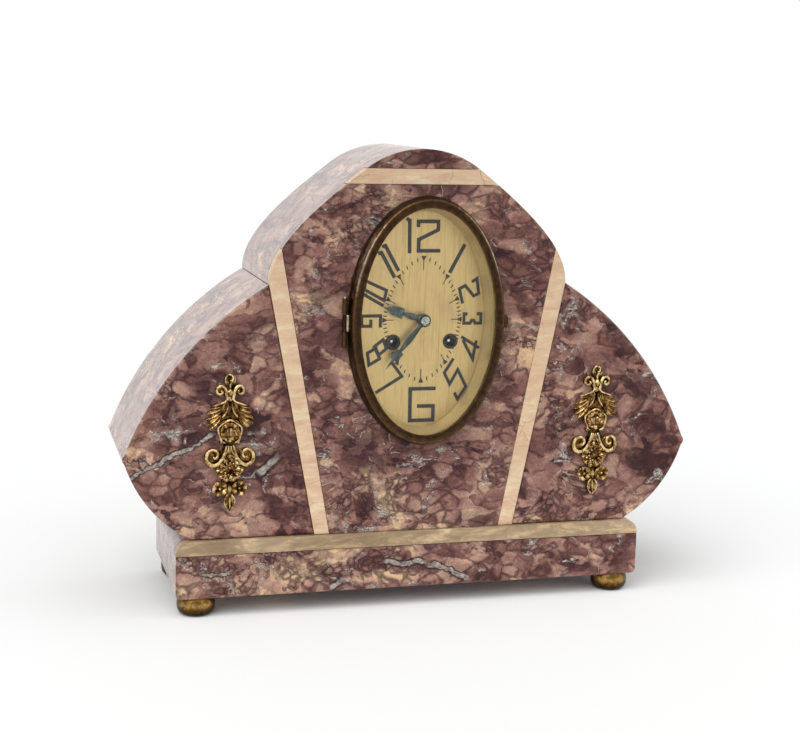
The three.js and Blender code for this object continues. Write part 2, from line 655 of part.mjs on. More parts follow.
// The hinged bezel: an outer crown that slopes inwards to the glass.
function addBezel() {
  const opening = BEZEL_HALF - BEZEL_WIDTH;
  const seat = opening + GLASS_SEAT_WIDTH;
  const glassBack = GLASS_FRONT_Y + GLASS_THICK;
  const ring = ovalTurned([[BEZEL_HALF, BEZEL_BACK_Y], [BEZEL_HALF - 0.4, -4.6],
    [BEZEL_HALF - 1.4, -8], [BEZEL_HALF - 2.6, -BEZEL_PROUD], [BEZEL_HALF - 4, -9.3],
    [BEZEL_HALF - 5.6, -8.7], [opening, -8.2], [opening, -7],
    [seat, GLASS_FRONT_Y - SEAT_GAP], [seat, glassBack],
    [seat + 0.8, BEZEL_BACK_Y]]);
  const half = BEZEL_KNUCKLE_LENGTH / 2;
  const [barrel, pinHole] = knuckle(-half, half);
  const arm = block(HINGE_X, HINGE_X + HINGE_OUT + 1, HINGE_Y - 1.2, HINGE_Y + 1.2, -half, half);
  const edge = BEZEL_HALF - OVAL;
  const tab = slab(new THREE.Shape([new THREE.Vector2(edge - 1, -9),
    new THREE.Vector2(edge + 2.2, -7), new THREE.Vector2(edge + 3, -4),
    new THREE.Vector2(edge + 3, 4), new THREE.Vector2(edge + 2.2, 7),
    new THREE.Vector2(edge - 1, 9)]), -5.2, BEZEL_BACK_Y - 0.4);
  piece(dialGroup, "bezel", cut(join(ring, barrel, arm, tab), pinHole), patinatedBrass);
  const pane = ovalShape(seat - SEAT_GAP);
  piece(dialGroup, "bezel_glass", slab(pane, GLASS_FRONT_Y, glassBack, 18), glass);
}

// Rear ring with its sleeve, two straps that draw it to the dial pan, and the hinged rear door.
const FLANGE_FRONT_Y = BODY_DEPTH + SEAT_GAP;
const FLANGE_REAR_Y = FLANGE_FRONT_Y + REAR_FLANGE_THICK;
const SLEEVE_RADIUS = BORE_RADIUS - SEAT_GAP;
const DOOR_FRONT_Y = FLANGE_REAR_Y + SEAT_GAP;
const DOOR_HINGE_X = -(DOOR_RADIUS + 2.4);
const DOOR_HINGE_Y = DOOR_FRONT_Y + 1.9;
const DOOR_HINGE_HALF = 12;
const DOOR_KNUCKLE_HALF = 5;

function rearKnuckle(z0, z1) {
  return [post(DOOR_HINGE_X, DOOR_HINGE_Y, KNUCKLE_RADIUS, z0, z1, 12),
    post(DOOR_HINGE_X, DOOR_HINGE_Y, HINGE_PIN_RADIUS + RUN_GAP, z0 - 1, z1 + 1, 8)];
}

function addRearRing() {
  const inner = SLEEVE_RADIUS - SLEEVE_WALL;
  let ring = turned(0, 0, [[inner, FLANGE_FRONT_Y - SLEEVE_LENGTH],
    [SLEEVE_RADIUS, FLANGE_FRONT_Y - SLEEVE_LENGTH], [SLEEVE_RADIUS, FLANGE_FRONT_Y],
    [REAR_FLANGE_RADIUS, FLANGE_FRONT_Y], [REAR_FLANGE_RADIUS - 0.6, FLANGE_REAR_Y],
    [inner, FLANGE_REAR_Y]], 36);
  const holes = [];
  for (const side of [-1, 1]) {
    const inner2 = side * (DOOR_KNUCKLE_HALF + RUN_GAP);
    const outer = side * DOOR_HINGE_HALF;
    const [z0, z1] = [Math.min(inner2, outer), Math.max(inner2, outer)];
    const [barrel, pinHole] = rearKnuckle(z0, z1);
    const web = block(DOOR_HINGE_X - 1.2, DOOR_HINGE_X + 1, FLANGE_FRONT_Y + 0.2,
      DOOR_HINGE_Y - 1.2, z0, z1);
    const ear = block(DOOR_HINGE_X - 1.2, DOOR_HINGE_X + 4, FLANGE_FRONT_Y,
      FLANGE_REAR_Y, z0, z1);
    ring = join(ring, barrel, web, ear);
    holes.push(pinHole);
  }
  piece(dialGroup, "rear_frame", cut(ring, ...holes), polishedBrass);
  const half = DOOR_HINGE_HALF;
  piece(dialGroup, "rear_hinge_pin", join(
    post(DOOR_HINGE_X, DOOR_HINGE_Y, HINGE_PIN_RADIUS, -half, half + SEAT_GAP + 0.5, 8),
    post(DOOR_HINGE_X, DOOR_HINGE_Y, KNUCKLE_RADIUS * 0.8, half + SEAT_GAP,
      half + SEAT_GAP + 1, 8)), polishedBrass);
}

function addStraps() {
  const outer = SLEEVE_RADIUS - SLEEVE_WALL - 2 * SEAT_GAP;
  const inner = PAN_HOLE_RADIUS + STRAP_LUG_MARGIN;
  const middle = inner + 1.5 * STRAP_SCREW_RADIUS;
  const front = PAN_REAR_Y + SEAT_GAP;
  for (const [name, side] of [["strap_left", -1], ["strap_right", 1]]) {
    const leg = block(outer - STRAP_THICK, outer, front, FLANGE_FRONT_Y - 2,
      -STRAP_HALF_WIDTH, STRAP_HALF_WIDTH);
    const lug = block(inner, outer, front, front + STRAP_THICK,
      -STRAP_HALF_WIDTH, STRAP_HALF_WIDTH);
    const screw = bar(middle, 0, STRAP_SCREW_RADIUS, front, front + 2 * STRAP_THICK);
    const head = solid(new THREE.CylinderGeometry(STRAP_HEAD_RADIUS, STRAP_HEAD_RADIUS,
      STRAP_THICK + 0.2, 10).rotateZ(Math.PI / 2)
      .translate(outer - STRAP_THICK - 0.4, FLANGE_FRONT_Y - SLEEVE_LENGTH / 2, 0));
    const strap = join(leg, lug, screw, head);
    piece(dialGroup, name, side > 0 ? strap : strap.mirror([1, 0, 0]), steel);
  }
}

function addRearDoor() {
  const rim = DOOR_RADIUS - DOOR_RIM_WIDTH;
  const rear = DOOR_FRONT_Y + DOOR_DEPTH;
  const crown = rear + DOOR_CROWN;
  const pan = turned(0, 0, [[rim, DOOR_FRONT_Y], [DOOR_RADIUS, DOOR_FRONT_Y],
    [DOOR_RADIUS, rear - 1], [DOOR_RADIUS - 1.2, rear], [rim, rear + 0.2],
    [rim * 0.7, crown - 0.5], [0, crown], [0, crown - DOOR_SHEET],
    [rim * 0.7, crown - 0.5 - DOOR_SHEET], [rim, rear - DOOR_SHEET]], 36);
  const knobBase = crown - 1.6;
  const knob = turned(DOOR_KNOB_X, 0, [[0, knobBase - 1], [1.6, knobBase - 1],
    [1.6, knobBase + 2], [DOOR_KNOB_RADIUS, knobBase + 2.8],
    [DOOR_KNOB_RADIUS, crown + DOOR_KNOB_LENGTH - 1],
    [DOOR_KNOB_RADIUS * 0.6, crown + DOOR_KNOB_LENGTH], [0, crown + DOOR_KNOB_LENGTH]], 12);
  const [barrel, pinHole] = rearKnuckle(-DOOR_KNUCKLE_HALF, DOOR_KNUCKLE_HALF);
  const arm = block(DOOR_HINGE_X, -DOOR_RADIUS + 1.5, DOOR_HINGE_Y - 1.1,
    DOOR_HINGE_Y + 1.1, -DOOR_KNUCKLE_HALF, DOOR_KNUCKLE_HALF);
  piece(dialGroup, "rear_door", cut(join(pan, knob, barrel, arm), pinHole), polishedBrass);
}

// Toothed wheels. A tooth is as wide as it is let in at the root and comes to a small flat or
// a point, with enough backlash for any position of the train.
const TOOTH_TIP = 0.68; // times the module, outside the pitch circle
const TOOTH_ROOT = 1.05; // times the module, inside it

function wheelOutline(teeth, module, phase) {
  const pitch = (teeth * module) / 2;
  const step = (2 * Math.PI) / teeth;
  const points = [];
  for (let i = 0; i < teeth; i += 1) {
    const angle = phase + i * step;
    const root = pitch - TOOTH_ROOT * module;
    const tip = pitch + TOOTH_TIP * module;
    points.push(new THREE.Vector2(root * Math.cos(angle - step / 2),
      root * Math.sin(angle - step / 2)));
    points.push(new THREE.Vector2(tip * Math.cos(angle), tip * Math.sin(angle)));
  }
  return new THREE.Shape(points);
}

// Openings between the spokes of a wheel.
function crossings(shape, count, inner, outer, spoke) {
  for (let i = 0; i < count; i += 1) {
    const from = (2 * Math.PI * i) / count;
    const to = (2 * Math.PI * (i + 1)) / count;
    const points = [];
    for (const t of [0, 0.5, 1]) {
      const trim = spoke / outer / 2;
      const angle = from + trim + (to - from - 2 * trim) * t;
      points.push(new THREE.Vector2(outer * Math.cos(angle), outer * Math.sin(angle)));
    }
    for (const t of [1, 0]) {
      const trim = spoke / inner / 2;
      const angle = from + trim + (to - from - 2 * trim) * t;
      points.push(new THREE.Vector2(inner * Math.cos(angle), inner * Math.sin(angle)));
    }
    shape.holes.push(new THREE.Path(points));
  }
}

// A wheel with a tooth on the line to its pinion, and a pinion with a gap on that line.
function wheel(at, teeth, module, toward, y0, thick, spokes = 4) {
  const phase = Math.atan2(toward[1] - at[1], toward[0] - at[0]);
  const shape = wheelOutline(teeth, module, phase);
  const pitch = (teeth * module) / 2;
  if (spokes > 0) {
    crossings(shape, spokes, 2.2, pitch - 2.6 * module - 0.8, 1.1);
  }
  return slab(shape, y0, y0 + thick).translate([at[0], 0, at[1]]);
}

function pinion(at, leaves, module, toward, y0, y1) {
  const phase = Math.atan2(toward[1] - at[1], toward[0] - at[0]) + Math.PI / leaves;
  return slab(wheelOutline(leaves, module, phase), y0, y1).translate([at[0], 0, at[1]]);
}

function meshDistance(teeth, leaves, module) {
  return ((teeth + leaves) * module) / 2;
}

// The point at two given distances from two others, to the left of the way from a to b.
function meetingPoint(a, b, fromA, fromB) {
  const d = Math.hypot(b[0] - a[0], b[1] - a[1]);
  const along = (fromA * fromA - fromB * fromB + d * d) / (2 * d);
  const aside = Math.sqrt(fromA * fromA - along * along);
  const ux = (b[0] - a[0]) / d;
  const uz = (b[1] - a[1]) / d;
  return [a[0] + ux * along - uz * aside, a[1] + uz * along + ux * aside];
}

// Where the arbors stand between the plates
const CENTRE = [0, 0];
const GOING = [WINDING_X, -WINDING_DROP];
const STRIKE = [-WINDING_X, -WINDING_DROP];
const ESCAPE = [0, ESCAPE_Z];
const ANCHOR = [0, ANCHOR_Z];
const GOING_SECOND = meetingPoint(CENTRE, GOING,
  meshDistance(SECOND_TEETH, CENTRE_PINION, SECOND_MODULE),
  meshDistance(BARREL_TEETH, BARREL_PINION, BARREL_MODULE));
const THIRD = meetingPoint(CENTRE, ESCAPE,
  meshDistance(CENTRE_TEETH, THIRD_PINION, CENTRE_MODULE),
  meshDistance(THIRD_TEETH, ESCAPE_PINION, THIRD_MODULE));
const STRIKE_SECOND = polar(STRIKE,
  meshDistance(BARREL_TEETH, BARREL_PINION, BARREL_MODULE), STRIKE_SECOND_ANGLE);
const PIN_WHEEL = polar(STRIKE_SECOND,
  meshDistance(STRIKE_SECOND_TEETH, PIN_PINION, STRIKE_SECOND_MODULE), PIN_WHEEL_ANGLE);
const LOCKING = polar(PIN_WHEEL,
  meshDistance(PIN_TEETH, LOCKING_PINION, PIN_MODULE), LOCKING_ANGLE);
const FLY = polar(LOCKING,
  meshDistance(LOCKING_TEETH, FLY_PINION, LOCKING_MODULE), FLY_ANGLE);
const HAMMER = [HAMMER_X, HAMMER_Z];
const MINUTE_STUD = [0, MOTION_DISTANCE];
const CLICK_OUT = 5.2; // from the ratchet's rim to the click's pivot

function clickPivot(side) {
  return polar([side * WINDING_X, -WINDING_DROP], RATCHET_RADIUS + CLICK_OUT,
    side > 0 ? 60 : 120);
}

// Plates: the front one carries the pillars, studs for the minute wheel and the clicks.
const INNER_FRONT_Y = FRONT_PLATE_Y + PLATE_THICK;
const PIVOT_HOLE = PIVOT_RADIUS + RUN_GAP;

function plateShape() {
  const shape = new THREE.Shape().absarc(0, 0, PLATE_RADIUS, 0, 2 * Math.PI, false);
  return shape;
}

function pivotHoles(list, y0, y1, radius = PIVOT_HOLE) {
  return list.map(([x, z]) => bar(x, z, radius, y0 - 1, y1 + 1, 6));
}

const TRAIN_PIVOTS = [GOING_SECOND, THIRD, ESCAPE, STRIKE_SECOND, PIN_WHEEL, LOCKING, FLY];

function addPlates() {
  const [f0, f1] = [FRONT_PLATE_Y, INNER_FRONT_Y];
  let front = slab(plateShape(), f0, f1, 20);
  for (const degrees of PILLAR_ANGLES) {
    const [x, z] = polar([0, 0], PILLAR_CIRCLE, degrees);
    front = front.add(bar(x, z, PILLAR_RADIUS, f1 - 0.5, BACK_PLATE_Y - SEAT_GAP));
  }
  const bigHoles = [GOING, STRIKE].map(([x, z]) => bar(x, z, WINDING_ARBOR_RADIUS + RUN_GAP,
    f0 - 1, f1 + 1, 12));
  const centreHole = bar(0, 0, ARBOR_RADIUS + RUN_GAP, f0 - 1, f1 + 1, 10);
  front = cut(front, centreHole, ...bigHoles,
    ...pivotHoles([...TRAIN_PIVOTS, ANCHOR, HAMMER], f0, f1));
  const stud = bar(MINUTE_STUD[0], MINUTE_STUD[1], 1, FRONT_PLATE_Y - 5.6, f0 + 0.5, 8);
  const clickStuds = [-1, 1].map((side) => {
    const [x, z] = clickPivot(side);
    return bar(x, z, 0.9, RATCHET_Y - 0.4, f0 + 0.5, 8);
  });
  piece(dialGroup, "front_plate", join(front, stud, ...clickStuds), polishedBrass);

  const [b0, b1] = [BACK_PLATE_Y, BACK_PLATE_REAR_Y];
  let back = slab(plateShape(), b0, b1, 20);
  const arborHoles = [GOING, STRIKE].map(([x, z]) => bar(x, z, WINDING_ARBOR_RADIUS + RUN_GAP,
    b0 - 1, b1 + 1, 12));
  back = cut(back, ...arborHoles, ...pivotHoles([...TRAIN_PIVOTS, CENTRE], b0, b1),
    ...pivotHoles([ANCHOR, HAMMER, STRIKE_SECOND], b0, b1, ARBOR_RADIUS + RUN_GAP));
  piece(dialGroup, "back_plate", back, polishedBrass);
}

// A train arbor between the plates, with a pivot in each.
function arbor(at, radius) {
  const y0 = INNER_FRONT_Y + RUN_GAP;
  const y1 = BACK_PLATE_Y - RUN_GAP;
  return join(bar(at[0], at[1], radius, y0, y1, 8),
    bar(at[0], at[1], PIVOT_RADIUS, FRONT_PLATE_Y + 0.4, BACK_PLATE_REAR_Y - 0.4, 6));
}

function addGoingTrain() {
  const greatWheel = wheel(GOING, BARREL_TEETH, BARREL_MODULE, GOING_SECOND,
    BARREL_REAR_Y - GREAT_WHEEL_THICK, GREAT_WHEEL_THICK, 0);
  piece(dialGroup, "going_barrel", barrelOf(GOING, greatWheel), polishedBrass);

  const barrelPinion = pinion(GOING_SECOND, BARREL_PINION, BARREL_MODULE, GOING,
    BARREL_REAR_Y - GREAT_WHEEL_THICK - 0.6, BARREL_REAR_Y + 0.6);
  const second = wheel(GOING_SECOND, SECOND_TEETH, SECOND_MODULE, CENTRE,
    FRONT_WHEEL_Y, WHEEL_THICK);
  const secondHub = bar(...GOING_SECOND, 2.6, FRONT_WHEEL_Y, FRONT_WHEEL_Y + 2.4);
  piece(dialGroup, "going_second_wheel",
    join(arbor(GOING_SECOND, ARBOR_RADIUS), barrelPinion, second, secondHub), polishedBrass);

  const centrePinion = pinion(CENTRE, CENTRE_PINION, SECOND_MODULE, GOING_SECOND,
    FRONT_WHEEL_Y - 0.6, FRONT_WHEEL_Y + WHEEL_THICK + 0.6);
  const centreWheel = wheel(CENTRE, CENTRE_TEETH, CENTRE_MODULE, THIRD,
    REAR_WHEEL_Y, WHEEL_THICK);
  const centreHub = bar(0, 0, 2.6, REAR_WHEEL_Y - 1.6, REAR_WHEEL_Y + WHEEL_THICK);
  const centreArbor = join(
    bar(0, 0, ARBOR_RADIUS, MINUTE_HAND_Y + 2, BACK_PLATE_Y - RUN_GAP, 8),
    bar(0, 0, PIVOT_RADIUS, BACK_PLATE_Y - 1, BACK_PLATE_REAR_Y - 0.4, 6));
  piece(dialGroup, "centre_wheel", join(centreArbor, centrePinion, centreWheel, centreHub),
    polishedBrass);

  const thirdPinion = pinion(THIRD, THIRD_PINION, CENTRE_MODULE, CENTRE,
    REAR_WHEEL_Y - 0.6, REAR_WHEEL_Y + WHEEL_THICK + 0.6);
  const thirdWheel = wheel(THIRD, THIRD_TEETH, THIRD_MODULE, ESCAPE, THIRD_WHEEL_Y, 1);
  const thirdHub = bar(...THIRD, 2.4, THIRD_WHEEL_Y, THIRD_WHEEL_Y + 1.8);
  piece(dialGroup, "third_wheel",
    join(arbor(THIRD, 0.75), thirdPinion, thirdWheel, thirdHub), polishedBrass);

  const escapePinion = pinion(ESCAPE, ESCAPE_PINION, THIRD_MODULE, THIRD,
    THIRD_WHEEL_Y - 0.6, THIRD_WHEEL_Y + 1.6);
  const escapeWheel = slab(escapeOutline(), ESCAPE_Y, ESCAPE_Y + 1)
    .translate([ESCAPE[0], 0, ESCAPE[1]]);
  const escapeHub = bar(...ESCAPE, 2.4, ESCAPE_Y - 1, ESCAPE_Y + 1);
  piece(dialGroup, "escape_wheel",
    join(arbor(ESCAPE, FINE_ARBOR_RADIUS), escapePinion, escapeWheel, escapeHub), polishedBrass);
}

function barrelOf(at, greatWheel) {
  const drum = bar(at[0], at[1], BARREL_DRUM_RADIUS, BARREL_FRONT_Y, BARREL_REAR_Y - 0.4, 24);
  const hole = bar(at[0], at[1], WINDING_ARBOR_RADIUS + RUN_GAP, BARREL_FRONT_Y - 1,
    BARREL_REAR_Y + 1, 12);
  return join(drum, greatWheel).subtract(hole);
}

// Escape wheel: raked saw teeth.
function escapeOutline() {
  const step = (2 * Math.PI) / ESCAPE_TEETH;
  const root = ESCAPE_RADIUS - 1.7;
  const points = [];
  for (let i = 0; i < ESCAPE_TEETH; i += 1) {
    const angle = i * step;
    points.push(new THREE.Vector2(root * Math.cos(angle), root * Math.sin(angle)));
    points.push(new THREE.Vector2(ESCAPE_RADIUS * Math.cos(angle + 0.92 * step),
      ESCAPE_RADIUS * Math.sin(angle + 0.92 * step)));
  }
  const shape = new THREE.Shape(points);
  crossings(shape, 4, 2.1, root - 1.1, 0.9);
  return shape;
}

// Anchor: an arched arm with two pallets, its arbor, and the crutch behind the back plate.
function addAnchor() {
  const inner = ESCAPE_RADIUS + PALLET_GAP;
  const outer = inner + 2.2;
  const spread = THREE.MathUtils.degToRad(50);
  const shape = new THREE.Shape();
  shape.absarc(0, 0, outer, Math.PI / 2 - spread, Math.PI / 2 + spread, false);
  shape.lineTo(inner * Math.cos(Math.PI / 2 + spread + 0.12),
    inner * Math.sin(Math.PI / 2 + spread + 0.12));
  shape.absarc(0, 0, inner + 0.5, Math.PI / 2 + spread * 0.7, Math.PI / 2 - spread * 0.7, true);
  shape.lineTo(inner * Math.cos(Math.PI / 2 - spread - 0.12),
    inner * Math.sin(Math.PI / 2 - spread - 0.12));
  const arms = slab(shape, ESCAPE_Y - 0.6, ESCAPE_Y + 1.6, 6)
    .translate([ESCAPE[0], 0, ESCAPE[1]]);
  const hub = bar(...ANCHOR, 2.2, ESCAPE_Y - 0.9, ESCAPE_Y + 1.9, 10);
  const staff = join(bar(...ANCHOR, ARBOR_RADIUS, INNER_FRONT_Y + RUN_GAP,
    CRUTCH_Y + 1, 8), bar(...ANCHOR, PIVOT_RADIUS, FRONT_PLATE_Y + 0.4, COCK_Y + 1.2, 6));
  const forkZ = -3;
  const crutch = block(-1, 1, CRUTCH_Y, CRUTCH_Y + 1, forkZ - 1.5, ANCHOR_Z + 1.5);
  const reach = ROD_HALF_WIDTH + RUN_GAP;
  const bridge = block(-reach - 1, reach + 1, CRUTCH_Y, CRUTCH_Y + 1, forkZ - 1.5, forkZ + 1.5);
  const tines = [-1, 1].map((side) => block(
    Math.min(side * reach, side * (reach + 1)), Math.max(side * reach, side * (reach + 1)),
    CRUTCH_Y, PENDULUM_Y + 1.4, forkZ - 1, forkZ + 1));
  piece(dialGroup, "anchor", join(arms, hub, staff, crutch, bridge, ...tines), steel);
}

// Rear cock: two feet on the back plate, a bridge over the anchor's pivot, and an arm from
// which the suspension spring hangs.
function addCock() {
  const z0 = ANCHOR_Z - 4;
  const z1 = ANCHOR_Z + 6;
  const foot = BACK_PLATE_REAR_Y + SEAT_GAP;
  const bridge = block(-11, 11, COCK_Y, COCK_Y + COCK_THICK, z0 + 1, z1 - 2);
  const legs = [-1, 1].map((side) => block(Math.min(side * 8, side * 11),
    Math.max(side * 8, side * 11), foot, COCK_Y + COCK_THICK, z0 + 1, z1 - 2));
  const arm = block(-3, 3, COCK_Y, PENDULUM_Y + 2, z1 - 2.2, z1 + 0.8);
  const slot = block(-2.5 - SEAT_GAP, 2.5 + SEAT_GAP, PENDULUM_Y - 0.2 - SEAT_GAP,
    PENDULUM_Y + 0.2 + SEAT_GAP, z1 - 3, z1 - 0.6);
  const pivot = bar(...ANCHOR, PIVOT_HOLE, COCK_Y - 1, COCK_Y + COCK_THICK + 1, 8);
  piece(dialGroup, "rear_cock", cut(join(bridge, ...legs, arm), slot, pivot), polishedBrass);
  piece(dialGroup, "suspension_spring", block(-2.5, 2.5, PENDULUM_Y - 0.2, PENDULUM_Y + 0.2,
    ANCHOR_Z + SEAT_GAP, z1 - 0.9), steel);
}

// Pendulum: a flat rod with a lenticular bob and a rating nut, hung under the spring.
function addPendulum() {
  const bobZ = ANCHOR_Z - PENDULUM_LENGTH;
  const rodEnd = bobZ - BOB_RADIUS - ROD_TAIL;
  const y = PENDULUM_Y;
  const headTop = ANCHOR_Z - SEAT_GAP;
  const headLow = headTop - ROD_HEAD_HEIGHT;
  const rod = join(
    block(-ROD_HALF_WIDTH, ROD_HALF_WIDTH, y - ROD_HALF_THICK, y + ROD_HALF_THICK,
      rodEnd, headLow + 1),
    block(-ROD_HEAD_HALF_WIDTH, ROD_HEAD_HALF_WIDTH, y - ROD_HEAD_HALF_THICK,
      y + ROD_HEAD_HALF_THICK, headLow, headTop));
  piece(dialGroup, "pendulum_rod", rod, steel);
  const lens = turned(0, bobZ, [[0, y - BOB_HALF_THICK], [BOB_RADIUS * 0.6, y - 3],
    [BOB_RADIUS, y - 0.6], [BOB_RADIUS, y + 0.6], [BOB_RADIUS * 0.6, y + 3],
    [0, y + BOB_HALF_THICK]], 28);
  const reach = ROD_HALF_WIDTH + SEAT_GAP;
  const slotHalf = ROD_HALF_THICK + SEAT_GAP;
  const slot = block(-reach, reach, y - slotHalf, y + slotHalf,
    bobZ - BOB_RADIUS - 1, bobZ + BOB_RADIUS + 1);
  piece(dialGroup, "pendulum_bob", lens.subtract(slot), polishedBrass);
  const nutTop = bobZ - BOB_RADIUS - SEAT_GAP;
  const nut = post(0, y, 3.2, nutTop - RATING_NUT_HEIGHT, nutTop, 12);
  const bore = block(-reach, reach, y - slotHalf, y + slotHalf,
    nutTop - RATING_NUT_HEIGHT - 1, nutTop + 1);
  piece(dialGroup, "rating_nut", nut.subtract(bore), polishedBrass);
}

// Strike train: barrel, second wheel with the count wheel, pin wheel, locking wheel and fly.
function addStrikeTrain() {
  const greatWheel = wheel(STRIKE, BARREL_TEETH, BARREL_MODULE, STRIKE_SECOND,
    BARREL_REAR_Y - GREAT_WHEEL_THICK, GREAT_WHEEL_THICK, 0);
  piece(dialGroup, "strike_barrel", barrelOf(STRIKE, greatWheel), polishedBrass);

  const barrelPinion = pinion(STRIKE_SECOND, BARREL_PINION, BARREL_MODULE, STRIKE,
    BARREL_REAR_Y - GREAT_WHEEL_THICK - 0.6, BARREL_REAR_Y + 0.6);
  const second = wheel(STRIKE_SECOND, STRIKE_SECOND_TEETH, STRIKE_SECOND_MODULE, PIN_WHEEL,
    STRIKE_SECOND_Y, WHEEL_THICK);
  const hub = bar(...STRIKE_SECOND, 2.6, STRIKE_SECOND_Y, STRIKE_SECOND_Y + 2.4);
  const tail = bar(...STRIKE_SECOND, ARBOR_RADIUS, BACK_PLATE_Y - 2,
    BACK_PLATE_REAR_Y + 3.4, 8);
  piece(dialGroup, "strike_second_wheel",
    join(arbor(STRIKE_SECOND, ARBOR_RADIUS), barrelPinion, second, hub, tail), polishedBrass);
  piece(dialGroup, "count_wheel", countWheel(), polishedBrass);

  const pinPinion = pinion(PIN_WHEEL, PIN_PINION, STRIKE_SECOND_MODULE, STRIKE_SECOND,
    STRIKE_SECOND_Y - 0.6, STRIKE_SECOND_Y + WHEEL_THICK + 0.6);
  const pinWheel = wheel(PIN_WHEEL, PIN_TEETH, PIN_MODULE, LOCKING, PIN_WHEEL_Y, WHEEL_THICK, 0);
  const pins = [];
  for (let i = 0; i < LIFTING_PINS; i += 1) {
    const at = polar(PIN_WHEEL, LIFTING_PIN_CIRCLE, (360 * i) / LIFTING_PINS);
    pins.push(bar(...at, LIFTING_PIN_RADIUS, PIN_WHEEL_Y + 0.5,
      PIN_WHEEL_Y + WHEEL_THICK + LIFTING_PIN_LENGTH, 6));
  }
  piece(dialGroup, "pin_wheel", join(arbor(PIN_WHEEL, 0.9), pinPinion, pinWheel, ...pins),
    polishedBrass);

  const lockingPinion = pinion(LOCKING, LOCKING_PINION, PIN_MODULE, PIN_WHEEL,
    PIN_WHEEL_Y - 0.6, PIN_WHEEL_Y + WHEEL_THICK + 0.6);
  const lockingWheel = wheel(LOCKING, LOCKING_TEETH, LOCKING_MODULE, FLY, LOCKING_WHEEL_Y, 1, 4);
  const lockingHub = bar(...LOCKING, 2.4, LOCKING_WHEEL_Y - 1, LOCKING_WHEEL_Y + 1);
  piece(dialGroup, "locking_wheel",
    join(arbor(LOCKING, 0.55), lockingPinion, lockingWheel, lockingHub), polishedBrass);

  const flyPinion = pinion(FLY, FLY_PINION, LOCKING_MODULE, LOCKING,
    LOCKING_WHEEL_Y - 0.6, LOCKING_WHEEL_Y + 1.6);
  const vane = block(FLY[0] - FLY_HALF_SPAN, FLY[0] + FLY_HALF_SPAN, 24, 41,
    FLY[1] - 0.3, FLY[1] + 0.3);
  piece(dialGroup, "fly", join(arbor(FLY, FINE_ARBOR_RADIUS), flyPinion, vane), polishedBrass);
}

// The count wheel has a notch after each hour's blows: 1, 2, 3 ... 12, with the half hours.
function countWheel() {
  const y0 = BACK_PLATE_REAR_Y + 1.4;
  const blows = [1, 2, 3, 4, 5, 6, 7, 8, 9, 10, 11, 12];
  const total = blows.reduce((sum, n) => sum + n + 1, 0);
  let disc = bar(...STRIKE_SECOND, COUNT_WHEEL_RADIUS, y0, y0 + 1.2, 36);
  let count = 0;
  for (const n of blows) {
    count += n + 1;
    const degrees = (360 * count) / total;
    const [x, z] = polar([0, 0], COUNT_WHEEL_RADIUS, degrees);
    const notch = solid(new THREE.BoxGeometry(2.2, 4, 0.8)
      .rotateY(-THREE.MathUtils.degToRad(degrees)).translate(x, y0, z));
    disc = disc.subtract(notch.translate([STRIKE_SECOND[0], 0, STRIKE_SECOND[1]]));
  }
  return disc.subtract(bar(...STRIKE_SECOND, ARBOR_RADIUS + SEAT_GAP, y0 - 1, y0 + 2, 10));
}

// Winding arbors with their ratchets, and the clicks on the front plate.
function ratchetOutline(side) {
  const step = (2 * Math.PI) / RATCHET_TEETH;
  const points = [];
  for (let i = 0; i < RATCHET_TEETH; i += 1) {
    const angle = i * step;
    const root = RATCHET_RADIUS - 1.3;
    const lead = side > 0 ? 0.08 : 0.92;
    points.push(new THREE.Vector2(root * Math.cos(angle), root * Math.sin(angle)));
    points.push(new THREE.Vector2(RATCHET_RADIUS * Math.cos(angle + lead * step),
      RATCHET_RADIUS * Math.sin(angle + lead * step)));
  }
  return new THREE.Shape(points);
}

function addWinding() {
  const half = WINDING_SQUARE / 2;
  for (const [name, side] of [["strike", -1], ["going", 1]]) {
    const at = [side * WINDING_X, -WINDING_DROP];
    const square = block(at[0] - half, at[0] + half, WINDING_ARBOR_FRONT_Y, RATCHET_Y + 0.5,
      at[1] - half, at[1] + half);
    const ratchet = slab(ratchetOutline(side), RATCHET_Y, RATCHET_Y + RATCHET_THICK)
      .translate([at[0], 0, at[1]]);
    const round = bar(...at, WINDING_ARBOR_RADIUS, RATCHET_Y + 0.5, BACK_PLATE_REAR_Y - 0.3, 12);
    piece(dialGroup, "winding_arbor_" + name, join(square, ratchet, round), steel);

    const pivot = clickPivot(side);
    const tip = polar(at, RATCHET_RADIUS + RUN_GAP + 0.4, side > 0 ? 25 : 155);
    const beak = new THREE.Shape([new THREE.Vector2(pivot[0] - side * 1.6, pivot[1] + 1.2),
      new THREE.Vector2(pivot[0] - side * 1.4, pivot[1] - 1.6),
      new THREE.Vector2(tip[0] - side * 0.2, tip[1] + 0.2),
      new THREE.Vector2(tip[0] + side * 1.6, tip[1] + 0.4),
      new THREE.Vector2(pivot[0] + side * 2.2, pivot[1] + 0.8)]);
    const body = join(slab(beak, RATCHET_Y + 0.2, RATCHET_Y + 1.8),
      bar(...pivot, 2, RATCHET_Y + 0.2, RATCHET_Y + 1.8, 10));
    const hole = bar(...pivot, 0.9 + RUN_GAP, RATCHET_Y - 1, RATCHET_Y + 3, 8);
    piece(dialGroup, "click_" + name, body.subtract(hole), steel);
  }
}

